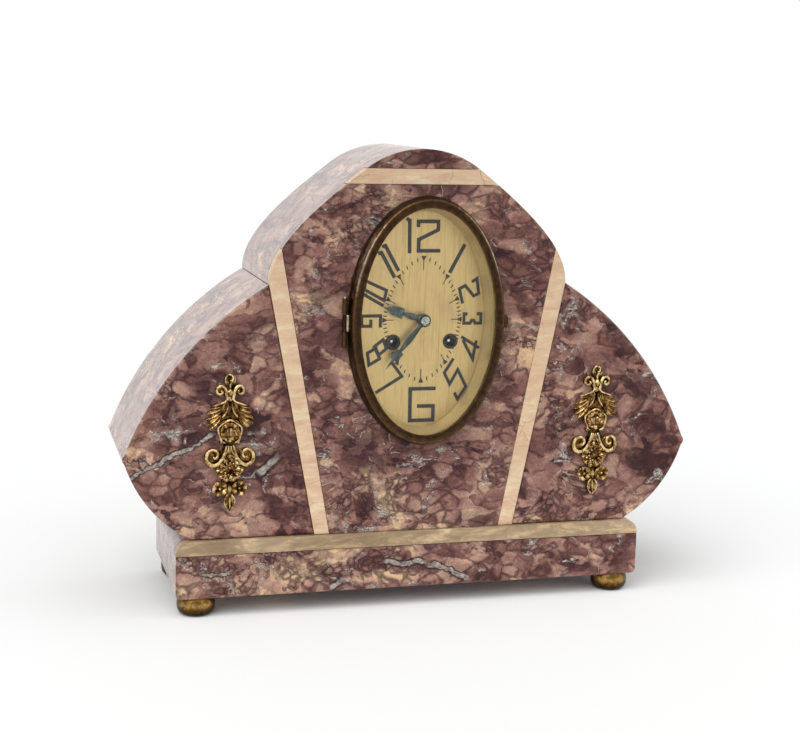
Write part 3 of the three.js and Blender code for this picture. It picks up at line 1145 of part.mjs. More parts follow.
// Motion work behind the dial.
function addMotionWork() {
  const cannonModule = (2 * MOTION_DISTANCE) / (CANNON_TEETH + MINUTE_WHEEL_TEETH);
  const hourModule = (2 * MOTION_DISTANCE) / (MINUTE_PINION + HOUR_WHEEL_TEETH);
  const y = FRONT_PLATE_Y;
  const cannon = join(
    pinion(CENTRE, CANNON_TEETH, cannonModule, MINUTE_STUD, y - 2.8, y - 0.6),
    bar(0, 0, CANNON_RADIUS, MINUTE_HAND_Y + SEAT_GAP, y - 1, 12));
  const cannonBore = bar(0, 0, ARBOR_RADIUS + RUN_GAP, 0, y, 10);
  piece(dialGroup, "cannon_pinion", cannon.subtract(cannonBore), steel);

  const minuteWheel = wheel(MINUTE_STUD, MINUTE_WHEEL_TEETH, cannonModule, CENTRE,
    y - 2.2, 1, 4);
  const minutePinion = pinion(MINUTE_STUD, MINUTE_PINION, hourModule, CENTRE, y - 5.2, y - 2);
  const studHole = bar(...MINUTE_STUD, 1 + RUN_GAP, y - 6, y, 10);
  piece(dialGroup, "minute_wheel", join(minuteWheel, minutePinion).subtract(studHole),
    polishedBrass);

  const hourWheel = wheel(CENTRE, HOUR_WHEEL_TEETH, hourModule, MINUTE_STUD, y - 4.8, 1.2, 0);
  const pipe = bar(0, 0, HOUR_PIPE_RADIUS, HOUR_HAND_Y + SEAT_GAP, y - 3.8, 12);
  const pipeBore = bar(0, 0, CANNON_RADIUS + RUN_GAP, 0, y, 12);
  piece(dialGroup, "hour_wheel", join(hourWheel, pipe).subtract(pipeBore), polishedBrass);
}

// Hands: a shank that swells and draws in, a wider block and a fine point, on a round collet.
function handOutline(length, shank, neck, blockIn, blockOut) {
  const shape = new THREE.Shape();
  const neckAt = length * 0.6 - 2;
  const blockAt = neckAt + 0.8;
  const blockEnd = blockAt + (length - blockAt) * 0.52;
  shape.moveTo(1.1, 2);
  shape.quadraticCurveTo(shank, neckAt * 0.62, neck / 2, neckAt);
  shape.lineTo(blockIn / 2, blockAt);
  shape.lineTo(blockOut / 2, blockEnd);
  shape.lineTo(0.9, blockEnd + 0.6);
  shape.lineTo(0.25, length);
  shape.lineTo(-0.25, length);
  shape.lineTo(-0.9, blockEnd + 0.6);
  shape.lineTo(-blockOut / 2, blockEnd);
  shape.lineTo(-blockIn / 2, blockAt);
  shape.lineTo(-neck / 2, neckAt);
  shape.quadraticCurveTo(-shank, neckAt * 0.62, -1.1, 2);
  return shape;
}

function hand(outline, y, degrees, boreRadius) {
  const blade = slab(outline, y, y + HAND_THICK, 5);
  const turnedBlade = blade.rotate([0, degrees, 0]);
  const collet = bar(0, 0, HAND_HUB_RADIUS, y, y + HAND_THICK, 16);
  const bore = bar(0, 0, boreRadius, y - 1, y + 2, 10);
  return join(turnedBlade, collet).subtract(bore);
}

function addHands() {
  const minute = handOutline(MINUTE_HAND_LENGTH, 2.9, 1.7, 6.6, 5.2);
  piece(dialGroup, "minute_hand",
    hand(minute, MINUTE_HAND_Y - HAND_THICK, MINUTE_HAND_ANGLE, ARBOR_RADIUS + RUN_GAP),
    blueSteel);
  const hour = handOutline(HOUR_HAND_LENGTH, 3.1, 1.6, 7.4, 6);
  piece(dialGroup, "hour_hand",
    hand(hour, HOUR_HAND_Y - HAND_THICK, HOUR_HAND_ANGLE, CANNON_RADIUS + RUN_GAP), blueSteel);
  const nutBack = MINUTE_HAND_Y - HAND_THICK - SEAT_GAP;
  piece(dialGroup, "hand_nut", turned(0, 0, [[0, nutBack], [3.4, nutBack],
    [3.3, nutBack - 0.8], [2.2, nutBack - 1.8], [0, nutBack - 2.2]], 16), steel);
}

// Bell with its stand and nut, and the hammer that strikes the rim from outside.
function addBell() {
  const rear = BELL_MOUTH_Y + BELL_DEPTH;
  const r = BELL_RADIUS;
  const w = BELL_WALL;
  const bore = STAND_RADIUS + SEAT_GAP;
  piece(dialGroup, "bell", turned(0, -BELL_DROP, [[r, BELL_MOUTH_Y],
    [r * 0.965, BELL_MOUTH_Y + 5.5], [r * 0.84, BELL_MOUTH_Y + 11], [r * 0.56, rear - 1.8],
    [r * 0.2, rear], [bore, rear], [bore, rear - w], [r * 0.18, rear - w],
    [r * 0.53, rear - 1.8 - w], [r * 0.84 - w, BELL_MOUTH_Y + 10.2],
    [r * 0.965 - w, BELL_MOUTH_Y + 5], [r - w, BELL_MOUTH_Y]], 28), bellMetal);

  const y0 = BACK_PLATE_REAR_Y + SEAT_GAP;
  const armY = PENDULUM_Y + 2.8;
  const foot = bar(STAND_FOOT_X, -STAND_FOOT_DROP, 3, y0, y0 + 1.6, 12);
  const legRod = bar(STAND_FOOT_X, -STAND_FOOT_DROP, STAND_RADIUS, y0, armY + 1.5, 8);
  const run = Math.hypot(STAND_FOOT_X, STAND_FOOT_DROP - BELL_DROP);
  const lean = Math.atan2(STAND_FOOT_X, STAND_FOOT_DROP - BELL_DROP);
  const arm = solid(new THREE.BoxGeometry(3.4, 1.6, run + 3)
    .rotateY(-lean).translate(STAND_FOOT_X / 2, armY + 0.6, -(STAND_FOOT_DROP + BELL_DROP) / 2));
  const shaft = bar(0, -BELL_DROP, STAND_RADIUS, armY, rear + 4.4, 8);
  const shoulder = bar(0, -BELL_DROP, 3, rear - w - 1.6 - SEAT_GAP, rear - w - SEAT_GAP, 10);
  piece(dialGroup, "bell_stand", join(foot, legRod, arm, shaft, shoulder), steel);
  const nut = bar(0, -BELL_DROP, 3.4, rear + SEAT_GAP, rear + 3, 6);
  piece(dialGroup, "bell_nut", nut.subtract(bar(0, -BELL_DROP, bore, rear - 1, rear + 5, 10)),
    polishedBrass);
}

function addHammer() {
  const headY = BELL_MOUTH_Y + 1.5;
  const reach = BELL_RADIUS + HAMMER_REST_GAP + HAMMER_HEAD_RADIUS;
  const head = polar([0, -BELL_DROP], reach, HAMMER_HEAD_ANGLE);
  const stemLength = Math.hypot(head[0] - HAMMER[0], head[1] - HAMMER[1]);
  const lean = Math.atan2(head[0] - HAMMER[0], HAMMER[1] - head[1]);
  const stem = solid(new THREE.BoxGeometry(1.6, 1.6, stemLength)
    .translate(0, 0, -stemLength / 2).rotateY(-lean)
    .translate(HAMMER[0], headY, HAMMER[1]));
  const headBody = bar(...head, HAMMER_HEAD_RADIUS, headY - 3, headY + 3, 12);
  const staff = join(bar(...HAMMER, ARBOR_RADIUS, INNER_FRONT_Y + RUN_GAP, headY + 1, 8),
    bar(...HAMMER, PIVOT_RADIUS, FRONT_PLATE_Y + 0.4, INNER_FRONT_Y + 1, 6));
  const hub = bar(...HAMMER, 2, headY - 1.2, headY + 1.2, 10);
  const tailTip = LIFTING_PIN_CIRCLE + LIFTING_PIN_RADIUS + RUN_GAP + 0.2;
  const tail = block(HAMMER[0] - 0.8, HAMMER[0] + 0.8, PIN_WHEEL_Y + WHEEL_THICK + 1,
    PIN_WHEEL_Y + WHEEL_THICK + LIFTING_PIN_LENGTH, PIN_WHEEL[1] + tailTip, HAMMER[1]);
  piece(dialGroup, "hammer", join(stem, headBody, staff, hub, tail), steel);
}

addPlinth();
addFeet();
addCentreBlock();
addWings();
addFloralMounts();
addDialPan();
addDial();
addBezel();
addRearRing();
addStraps();
addRearDoor();
addPlates();
addGoingTrain();
addAnchor();
addCock();
addPendulum();
addStrikeTrain();
addWinding();
addMotionWork();
addHands();
addBell();
addHammer();

export default clock;
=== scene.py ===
import json
import math

import bmesh
import bpy
import numpy as np
from mathutils import Matrix, Vector


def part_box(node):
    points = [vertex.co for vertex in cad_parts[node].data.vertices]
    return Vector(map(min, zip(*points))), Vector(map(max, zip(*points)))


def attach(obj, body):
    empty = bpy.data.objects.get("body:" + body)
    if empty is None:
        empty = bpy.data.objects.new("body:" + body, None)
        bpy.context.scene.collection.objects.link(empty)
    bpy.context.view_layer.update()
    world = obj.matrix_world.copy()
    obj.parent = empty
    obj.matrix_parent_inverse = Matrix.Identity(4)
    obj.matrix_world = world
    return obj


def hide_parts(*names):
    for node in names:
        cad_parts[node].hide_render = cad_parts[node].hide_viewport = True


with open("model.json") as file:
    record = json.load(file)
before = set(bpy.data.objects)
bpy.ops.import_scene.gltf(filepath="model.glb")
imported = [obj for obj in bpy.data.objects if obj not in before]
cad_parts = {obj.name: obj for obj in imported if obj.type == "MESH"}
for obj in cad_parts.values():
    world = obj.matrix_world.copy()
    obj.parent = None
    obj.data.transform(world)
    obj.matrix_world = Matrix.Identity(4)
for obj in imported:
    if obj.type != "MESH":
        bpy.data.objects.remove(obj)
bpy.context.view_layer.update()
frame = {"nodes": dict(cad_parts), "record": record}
nodes = frame["nodes"]
mm = 0.001


# The camera: a long lens a little to the left of the clock and above it, looking down on the
# dial, as the clock was photographed.
def shown(name, data):
    """An object of its own for a mesh, lamp or camera, in the scene."""
    holder = bpy.data.objects.new(name, data)
    bpy.context.collection.objects.link(holder)
    return holder


turn, down, roll = (math.radians(angle) for angle in (15.497, 9.697, 1.405))
forward = Vector((math.sin(turn) * math.cos(down), math.cos(turn) * math.cos(down),
                  -math.sin(down)))
level_right = Vector((math.cos(turn), -math.sin(turn), 0))
level_up = level_right.cross(forward)
right = math.cos(roll) * level_right + math.sin(roll) * level_up
up = -math.sin(roll) * level_right + math.cos(roll) * level_up
FOCAL_LENGTH = 69.83
CAMERA_PLACE = (-0.29046, -1.05374, 0.34546)
lens = bpy.data.cameras.new("camera")
lens.lens = FOCAL_LENGTH
lens.sensor_width = 36
lens.clip_start, lens.clip_end = 0.05, 20
camera = shown("camera", lens)
camera.matrix_world = Matrix((right, up, -forward)).transposed().to_4x4()
camera.matrix_world.translation = CAMERA_PLACE
bpy.context.scene.camera = camera
bpy.context.scene.view_settings.view_transform = "Standard"


# The studio: a plain white floor that runs on into a white surround, a broad key light from the
# upper left and a weaker one from the right.
def feed(node, ins):
    """Sets a node's inputs by name or number, each to a number, a colour or a socket."""
    for name, value in ins.items():
        if isinstance(value, bpy.types.NodeSocket):
            node.id_data.links.new(value, node.inputs[name])
        else:
            node.inputs[name].default_value = value


def put(kind, ins, output=0, tree=None, **fields):
    """Adds a shader node with its inputs (see feed) and its own fields, and gives one of its
    outputs. It goes to the given tree or else to that of its first linked input."""
    tree = tree or next(v.id_data for v in ins.values() if isinstance(v, bpy.types.NodeSocket))
    node = tree.nodes.new("ShaderNode" + kind)
    for name, value in fields.items():
        setattr(node, name, value)
    feed(node, ins)
    return node.outputs[output]


def maths(operation, a, b=0.0):
    """Plain arithmetic on two values."""
    return put("Math", {0: a, 1: b}, operation=operation)


def span(value, low, high, out_low=0.0, out_high=1.0):
    """A value spread smoothly from one span to another and held at its ends."""
    return put("MapRange", {"Value": value, "From Min": low, "From Max": high,
                            "To Min": out_low, "To Max": out_high},
               interpolation_type="SMOOTHSTEP")


def white_to_the_eye(tree):
    """1 for rays from the camera and for mirrored and transmitted ones, 0 for diffuse light."""
    path = put("LightPath", {}, tree=tree).node.outputs
    seen = maths("ADD", path["Is Camera Ray"], path["Is Glossy Ray"])
    return put("Math", {0: seen, 1: path["Is Transmission Ray"]}, operation="ADD", use_clamp=True)


def bare_finish(name):
    """A material without its shader, and its nodes' tree."""
    finish = bpy.data.materials.new(name)
    finish.use_nodes = True
    tree = finish.node_tree
    tree.nodes.remove(tree.nodes["Principled BSDF"])
    return finish, tree


WHITE = (1, 1, 1, 1)
ROOM_LIGHT = 0.55
world = bpy.data.worlds.new("surround")
world.use_nodes = True
bpy.context.scene.world = world
tree = world.node_tree
strength = put("MapRange", {"Value": white_to_the_eye(tree), "To Min": ROOM_LIGHT, "To Max": 1.0})
feed(tree.nodes["Background"], {"Strength": strength, "Color": WHITE})

paper, tree = bare_finish("floor_paper")
FLOOR_COLOUR = (0.865, 0.875, 0.87, 1)
FLOOR_GLOW = 0.01
FLOOR_FADE = (0.5, 1.1)
sheet = put("BsdfDiffuse", {"Color": FLOOR_COLOUR}, tree=tree)
seen = white_to_the_eye(tree)
glow = put("Emission", {"Color": WHITE, "Strength": maths("MULTIPLY", seen, FLOOR_GLOW)})
near = put("AddShader", {0: sheet, 1: glow})
far = put("Emission", {"Color": WHITE, "Strength": seen})
away = put("VectorMath", {0: put("TexCoord", {}, "Object", tree=tree)}, "Value",
           operation="LENGTH")
fade = span(away, *FLOOR_FADE)
feed(tree.nodes["Material Output"], {"Surface": put("MixShader", {0: fade, 1: near, 2: far})})
FLOOR_REACH = 6.0
corners = [(x * FLOOR_REACH, y * FLOOR_REACH, 0) for x, y in ((-1, -1), (1, -1), (1, 1), (-1, 1))]
floor_mesh = bpy.data.meshes.new("floor")
floor_mesh.from_pydata(corners, [], [(0, 1, 2, 3)])
floor_mesh.materials.append(paper)
shown("floor", floor_mesh)


def soft_light(name, strength, spread, azimuth, elevation):
    """A far, broad light. Azimuth is counted from the front, to the left where negative."""
    lamp = bpy.data.lights.new(name, "SUN")
    lamp.energy = strength
    lamp.angle = math.radians(spread)
    shown(name, lamp).rotation_euler = (math.radians(90 - elevation), 0, math.radians(azimuth))


soft_light("key_light", 2.0, 60, -48, 48)
soft_light("side_light", 0.7, 80, 55, 40)


# The marble: one quarry's stone, mauve and brown, made of lumps in thin dark seams, with peach
# beds, grey-white splinters and a good polish. Each block is its own cut.
def tone(hex_colour):
    """The linear colour of a written one."""
    channels = [int(hex_colour[i:i + 2], 16) / 255 for i in (1, 3, 5)]
    return tuple(c / 12.92 if c <= 0.04045 else ((c + 0.055) / 1.055) ** 2.4
                 for c in channels) + (1.0,)


def ramp(value, *stops):
    """Colours along a value. stops are positions, each with a written colour after it."""
    colours = put("ValToRGB", {"Fac": value}, "Color")
    elements = colours.node.color_ramp.elements
    while len(elements) < len(stops) / 2:
        elements.new(0.5)
    for element, position, colour in zip(elements, stops[::2], stops[1::2]):
        element.position = position
        element.color = tone(colour)
    return colours


def blend(share, a, b, mode="MIX"):
    """Colour b laid over colour a by a share. b may be a written colour."""
    b = tone(b) if isinstance(b, str) else b
    return put("Mix", {0: share, 6: a, 7: b}, 2, data_type="RGBA", blend_type=mode)


def noise(place, scale, detail=4.0, rough=0.55, twist=0.0, output="Fac"):
    """Cloudy values from 0 to 1 with lumps of about 1 / scale."""
    return put("TexNoise", {"Vector": place, "Scale": scale, "Detail": detail,
                            "Roughness": rough, "Distortion": twist}, output)


def patches(place, scale, low, high, detail=3, rough=0.55, twist=0.0):
    """Drifts of about 1 / scale: 0 where a cloudy pattern is below low, 1 where above high."""
    return span(noise(place, scale, detail, rough, twist), low, high)


def gone(value, low, high, start=1.0):
    """A share that falls from start to nothing as a value goes from low to high."""
    return span(value, low, high, start, 0.0)


def times(a, b):
    """The product of two values."""
    return maths("MULTIPLY", a, b)


def cells(place, scale, feature, output="Distance"):
    """Lumps of about 1 / scale: how far a point is from a lump's middle or from its seam."""
    return put("TexVoronoi", {"Vector": place, "Scale": scale, "Randomness": 1.0}, output,
               feature=feature)


def stretched(place, scale, **more):
    """A place with its axes scaled, and turned or moved where more says so."""
    return put("Mapping", {"Vector": place, "Scale": scale, **more})


def bump(height, strength, distance):
    """A surface dented by a height."""
    return put("Bump", {"Height": height, "Strength": strength, "Distance": distance})


def aslant(place):
    """0 where a surface is seen square on, rising to 1 where it is seen along itself."""
    return put("LayerWeight", {"Blend": 0.5}, "Facing", tree=place.id_data)


def new_finish(name):
    """An empty finish: the material, its shader and the piece's own place."""
    finish = bpy.data.materials.new(name)
    finish.use_nodes = True
    tree = finish.node_tree
    place = put("TexCoord", {}, "Object", tree=tree)
    return finish, tree.nodes["Principled BSDF"], place


def warped(place, scale, amount, detail=3.0):
    """A place pushed about by a cloudy pattern, so that straight features wander."""
    cloud = noise(place, scale, detail, 0.6, output="Color")
    centred = put("VectorMath", {0: cloud, 1: (0.5,) * 3}, operation="SUBTRACT")
    return put("VectorMath", {0: centred, 1: (amount,) * 3, 2: place}, operation="MULTIPLY_ADD")


def total(start, *terms):
    """start plus each term's value times its gain."""
    for value, gain in terms:
        start = put("Math", {0: value, 1: gain, 2: start}, operation="MULTIPLY_ADD")
    return start


def lean(share, a, b):
    """A value between a and b by a share."""
    return put("Mix", {0: share, 2: a, 3: b}, data_type="FLOAT")


def lumps(place, scale):
    """Broken lumps of about 1 / scale: a random shade for each, and the distance to its rim."""
    shade = put("SeparateColor", {"Color": cells(place, scale, "F1", "Color")})
    return shade, maths("DIVIDE", cells(place, scale, "DISTANCE_TO_EDGE"), scale)


def dot(place, direction):
    """How far a place lies along a direction."""
    return put("VectorMath", {0: place, 1: direction}, "Value", operation="DOT_PRODUCT")


def marble_finish(name, shift, tilt, bands, warmth, depth, hearts, veins):
    """One block's marble. shift moves the cut through the stone, tilt leans its beds in
    degrees, bands flattens the lumps along the beds, warmth is the share of peach and depth
    lightens or darkens the whole. hearts are peach lumps at (x, z, half width, half height) and
    veins grey seams from (x, z) to (x, z), in millimetres."""
    finish, shader, place = new_finish(name)
    cut = stretched(place, (1.0, 0.8, bands), Location=shift,
                    Rotation=(math.radians(8), math.radians(tilt), 0))
    beds = warped(cut, 13, 0.034)
    jagged = warped(beds, 62, 0.01, 4)
    fine = warped(jagged, 280, 0.0021, 4)

    # lumps of three sizes, each size ruling its own drifts of the stone, in soft clouds
    middling = patches(beds, 24, 0.44, 0.48, 3, 0.6)
    crushed = patches(jagged, 17, 0.53, 0.57, 4, 0.65)
    (shade_big, rim_big), (shade_mid, rim_mid), (shade_small, rim_small) = (
        lumps(fine, scale) for scale in (40, 90, 210))
    shade = lean(crushed, lean(middling, shade_big, shade_mid), shade_small)
    rim = lean(crushed, lean(middling, rim_big, rim_mid), rim_small)
    peach = span(noise(beds, 12, 3, 0.5, 0.4), 0.64 - 0.1 * warmth, 0.72)
    wander = warped(warped(place, 60, 0.012, 4), 240, 0.0022)
    for x, z, wide, high in hearts:
        off = stretched(wander, (1000 / wide, 0, 1000 / high), Location=(-x / wide, 0, -z / high))
        off = put("VectorMath", {0: off}, "Value", operation="LENGTH")
        peach = maths("MAXIMUM", peach, gone(off, 0.75, 1.05))
    cloud = noise(jagged, 17, 5, 0.56, 0.5)
    mottle = noise(fine, 210, 5, 0.72)
    level = total(-1.12 + depth, (shade, 0.52), (cloud, 2.15), (mottle, 0.58), (peach, 0.34),
                  (crushed, -0.1))
    body = ramp(level, 0.02, "#3a1d1e", 0.16, "#5a3836", 0.3, "#7c544c", 0.46, "#966c61",
                0.6, "#ab8276", 0.78, "#c39f89", 0.98, "#dfc39c")

    # dark purple drifts, and rims that darken to maroon
    drift = patches(jagged, 21, 0.53, 0.64, 6, 0.68, 0.6)
    drift = times(drift, maths("SUBTRACT", 1.0, peach))
    body = blend(times(drift, 0.62), body, "#3d1f26")
    halo = times(gone(rim, 0.0, 0.0022, 0.8), patches(jagged, 36, 0.36, 0.56))
    body = blend(halo, body, "#4a2528")

    # grey-white crystals in the crushed stone, speckled with dark
    splinter = times(patches(fine, 75, 0.56, 0.61, 5, 0.7, 0.8), patches(jagged, 27, 0.52, 0.57))
    speckled = ramp(noise(fine, 560, 4, 0.78), 0.36, "#221b1c", 0.47, "#8d827d", 0.6, "#e2dbd3")
    body = blend(times(splinter, 0.88), body, speckled)

    # thin dark seams round the lumps, sharp in the drifts and healed elsewhere
    width = span(noise(beds, 60, 3), 0.4, 0.62, 0.00012, 0.0005)
    seam = times(maths("DIVIDE", rim, width), -1.0)
    broken = maths("MAXIMUM", maths("MAXIMUM", crushed, drift), patches(beds, 34, 0.5, 0.62))
    broken = times(broken, span(peach, 0.0, 0.8, 1.0, 0.25))
    seam = times(span(seam, -1.6, -0.5), times(broken, patches(fine, 90, 0.4, 0.54)))
    body = blend(times(seam, 0.8), body, "#2a1618")
    healed = times(gone(rim, 0.0001, 0.0005, 0.8), patches(jagged, 46, 0.58, 0.66))
    body = blend(healed, body, "#c9b3a2")

    # a vein: its distance from a straight line through the wandering stone
    for x0, z0, x1, z1, half in veins:
        length = math.hypot(x1 - x0, z1 - z0)
        way_x, way_z = (x1 - x0) / length, (z1 - z0) / length
        line = maths("SUBTRACT", dot(wander, (-way_z, 0, way_x)), (z0 * way_x - x0 * way_z) * mm)
        line = maths("ABSOLUTE", line)
        run = dot(place, (way_x, 0, way_z))
        first = (x0 * way_x + z0 * way_z) * mm
        last = first + length * mm
        ends = times(span(run, first, first + 4 * mm), gone(run, last - 6 * mm, last))
        edge = times(gone(line, half * mm, half * 1.5 * mm), ends)
        body = blend(times(edge, 0.9), body, "#2c1c20")
        core = times(gone(line, half * 0.5 * mm, half * 0.85 * mm), ends)
        pale = ramp(noise(fine, 320, 4, 0.7), 0.34, "#5b5350", 0.5, "#a0968e", 0.66, "#cfc6bb")
        body = blend(core, body, pale)

    # crystal grain
    grain = noise(place, 760, 5, 0.75)
    grey = ramp(grain, 0.3, "#342c2c", 0.5, "#808080", 0.7, "#e0dad4")
    body = blend(0.42, body, grey, "OVERLAY")

    # the polish: a clear skin that mirrors pale light where it is seen aslant, with fine grinding
    # streaks that run along the curved sides
    streak = span(noise(stretched(place, (60, 700, 60)), 1, 4, 0.6), 0.3, 0.7, 0.62, 1.0)
    feed(shader, {"Base Color": body,
                  "Roughness": span(noise(jagged, 90, 4), 0.3, 0.7, 0.2, 0.34),
                  "Specular IOR Level": 0.22,
                  "Coat Weight": times(span(aslant(place), 0.25, 0.66), streak),
                  "Coat Roughness": 0.22, "Coat IOR": 1.9, "Coat Tint": (1.0, 0.93, 0.9, 1),
                  "Normal": bump(total(0.0, (grain, 1.0), (seam, -0.6)), 0.08, 0.0004)})
    return finish


def smooth_piece(name, mesh, shell, angle):
    """The object for a mended mesh: shaded smooth, but sharp where faces meet at an angle."""
    shell.to_mesh(mesh)
    shell.free()
    mesh.shade_smooth()
    mesh.set_sharp_from_angle(angle=math.radians(angle))
    return shown(name, mesh)


def dress(piece, finish, slot, body, *replaced):
    """Gives a piece its finish and body, and hides the nodes that it stands for. slot is not used.
    """
    piece.data.materials.clear()
    piece.data.materials.append(finish)
    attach(piece, body)
    if replaced:
        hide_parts(*replaced)


def smooth_copy(node, name, finish, slot, body="case", bevel=0.0):
    """A dressed copy of a solid with its loose triangles merged, its flat faces made whole, its
    edges softened by a small bevel and its curves shaded smooth."""
    angle = 28
    mesh = nodes[node].data.copy()
    mesh.name = name
    shell = bmesh.new()
    shell.from_mesh(mesh)
    bmesh.ops.remove_doubles(shell, verts=shell.verts, dist=2e-6)
    if bevel:
        bmesh.ops.dissolve_limit(shell, angle_limit=math.radians(0.5), verts=shell.verts,
                                 edges=shell.edges)
    piece = smooth_piece(name, mesh, shell, angle)
    if bevel:
        soften = piece.modifiers.new("edge", "BEVEL")
        soften.width = bevel
        soften.segments = 2
        soften.limit_method = "ANGLE"
        soften.angle_limit = math.radians(angle)
        soften.harden_normals = True
    dress(piece, finish, slot, body, node)


marble_cuts = {
    "centre_block": ((0.11, 0.32, 0.07), 8, 1.5, 0.5, 0.02, [(33, 271, 16, 9), (-12, 60, 8, 8)],
                     []),
    "wing_left": ((0.62, 0.1, 0.4), -26, 1.4, 0.9, 0.02,
                  [(-104, 145, 13, 7), (-90, 84, 16, 4)],
                  [(-206, 91, -138, 127, 1.7), (-112, 97, -94, 109, 4.0)]),
    "wing_right": ((0.27, 0.81, 0.93), 22, 1.3, 0.4, -0.03, [], []),
    "plinth": ((0.9, 0.55, 0.18), 8, 1.3, 0.7, -0.07,
               [(-88, 30, 13, 12), (-58, 38, 20, 6), (-20, 22, 30, 5)],
               [(-24, 33, 10, 29, 2.2), (8, 29, 42, 17, 2.0), (-62, 14.5, -49, 18, 2.2),
                (-150, 29, -126, 31, 1.6)]),
}
for block, cut in marble_cuts.items():
    stone = marble_finish("marble_" + block, *cut)
    smooth_copy(block, block + "_stone", stone, "marble", bevel=0.4 * mm)


# The onyx strips: cream stone let into the joints and along the plinth, faintly banded, with a
# few pits and stained seams.
def onyx_finish(name, pale, deep, stain, band_scale, stain_share):
    """Cream onyx. Bands run along the piece, and the stain gathers in drifts."""
    finish, shader, place = new_finish(name)
    wavy = warped(stretched(place, (0.35, 1, 1.2)), 30, 0.012)
    bands = noise(wavy, band_scale, 6, 0.6, 1.0)
    body = ramp(bands, 0.3, deep, 0.55, pale, 0.75, deep)
    drift = span(noise(wavy, 34, 4, 0.6, 0.5), 0.66 - 0.2 * stain_share, 0.72)
    body = blend(times(drift, 0.35 + 0.4 * stain_share), body, stain)
    crack = cells(warped(place, 60, 0.01), 45, "DISTANCE_TO_EDGE")
    line = times(gone(crack, 0, 0.02, 0.5), patches(place, 25, 0.5, 0.6, 2))
    body = blend(line, body, "#a2815f")
    smudge = ramp(noise(wavy, 150, 6, 0.7, 0.4), 0.34, "#594c40", 0.5, "#828080", 0.66, "#e6e0d6")
    body = blend(0.25 + 0.45 * stain_share, body, smudge, "OVERLAY")
    pit = times(gone(cells(place, 300, "F1"), 0.0, 0.16, 0.8), patches(place, 70, 0.66, 0.7, 2))
    feed(shader, {"Base Color": blend(pit, body, "#5a4634"),
                  "Roughness": span(bands, 0.3, 0.7, 0.3, 0.42),
                  "Subsurface Weight": 0.08, "Subsurface Radius": (0.004, 0.003, 0.002),
                  "Normal": bump(pit, -0.3, 0.0004)})
    return finish


joint_onyx = onyx_finish("onyx_joint", "#dfc7a8", "#d2b592", "#b48e66", 55, 0.1)
plinth_onyx = onyx_finish("onyx_plinth", "#bfa683", "#9f8362", "#dfcfb8", 40, 0.6)
for strip, onyx in (("side_strip_left", joint_onyx), ("side_strip_right", joint_onyx),
                    ("top_strip", joint_onyx), ("plinth_strip", plinth_onyx)):
    smooth_copy(strip, strip + "_onyx", onyx, "onyx", bevel=0.3 * mm)


# The feet: turned brass buns under the plinth's corners, with a painted highlight round the
# belly that falls to painted shade at the bottom and part way towards the neck.
def grid_faces(rows, cols, close_rows, close_cols):
    """Quads between neighbouring points of a grid. A closed direction joins its last line of
    points to its first."""
    r, c = np.meshgrid(np.arange(rows if close_rows else rows - 1),
                       np.arange(cols if close_cols else cols - 1), indexing="ij")
    r2, c2 = (r + 1) % rows, (c + 1) % cols
    return np.stack([r * cols + c, r2 * cols + c, r2 * cols + c2, r * cols + c2],
                    -1).reshape(-1, 4)


def surface_piece(name, surfaces, finish, slot, body, *replaced, angle=40):
    """A dressed piece from grids of points. Each surface is (points, close_rows, close_cols),
    with an optional fourth item, a value at each point for rubbing together with painted
    highlight and painted shade. Poles are merged and faces turned outwards."""
    spots, faces, wear_and_painted_light, start = [], [], [], 0
    for surface in surfaces:
        points, close_rows, close_cols = surface[:3]
        rows, cols = points.shape[:2]
        spots.append(points.reshape(-1, 3))
        wear_and_painted_light.append(surface[3].reshape(-1) if len(surface) > 3 else np.ones(rows * cols))
        faces.append(grid_faces(rows, cols, close_rows, close_cols) + start)
        start += rows * cols
    mesh = bpy.data.meshes.new(name)
    mesh.from_pydata(np.concatenate(spots).tolist(), [], np.concatenate(faces).tolist())
    mesh.attributes.new("wear_and_painted_light", "FLOAT", "POINT")
    mesh.attributes["wear_and_painted_light"].data.foreach_set("value", np.concatenate(wear_and_painted_light).astype(np.float32))
    shell = bmesh.new()
    shell.from_mesh(mesh)
    bmesh.ops.remove_doubles(shell, verts=shell.verts, dist=1e-7)
    bmesh.ops.dissolve_degenerate(shell, edges=shell.edges, dist=1e-8)
    bmesh.ops.recalc_face_normals(shell, faces=shell.faces)
    dress(smooth_piece(name, mesh, shell, angle), finish, slot, body, *replaced)


def eased(points, steps=6):
    """A profile drawn through its points as a smooth line (Catmull-Rom), ends kept."""
    p = np.asarray(points, float)
    p = np.concatenate([2 * p[:1] - p[1:2], p, 2 * p[-1:] - p[-2:-1]])
    t = np.linspace(0, 1, steps, endpoint=False)[:, None]
    a, b, c, d = p[:-3, None], p[1:-2, None], p[2:-1, None], p[3:, None]
    line = 0.5 * (2 * b + (c - a) * t + (2 * a - 5 * b + 4 * c - d) * t ** 2
                  + (3 * b - a - 3 * c + d) * t ** 3)
    return np.concatenate([line.reshape(-1, p.shape[1]), np.asarray(points, float)[-1:]])


def around(count):
    """count angles round a circle, without the last."""
    return np.linspace(0, 2 * np.pi, count, endpoint=False)


def revolved(profile, sides):
    """Profile points (radius, height) carried round the vertical: x = r cos a, y = r sin a."""
    a = around(sides)
    r, h = np.asarray(profile).T[..., None]
    return np.stack([r * np.cos(a), r * np.sin(a), h + 0 * a], -1)


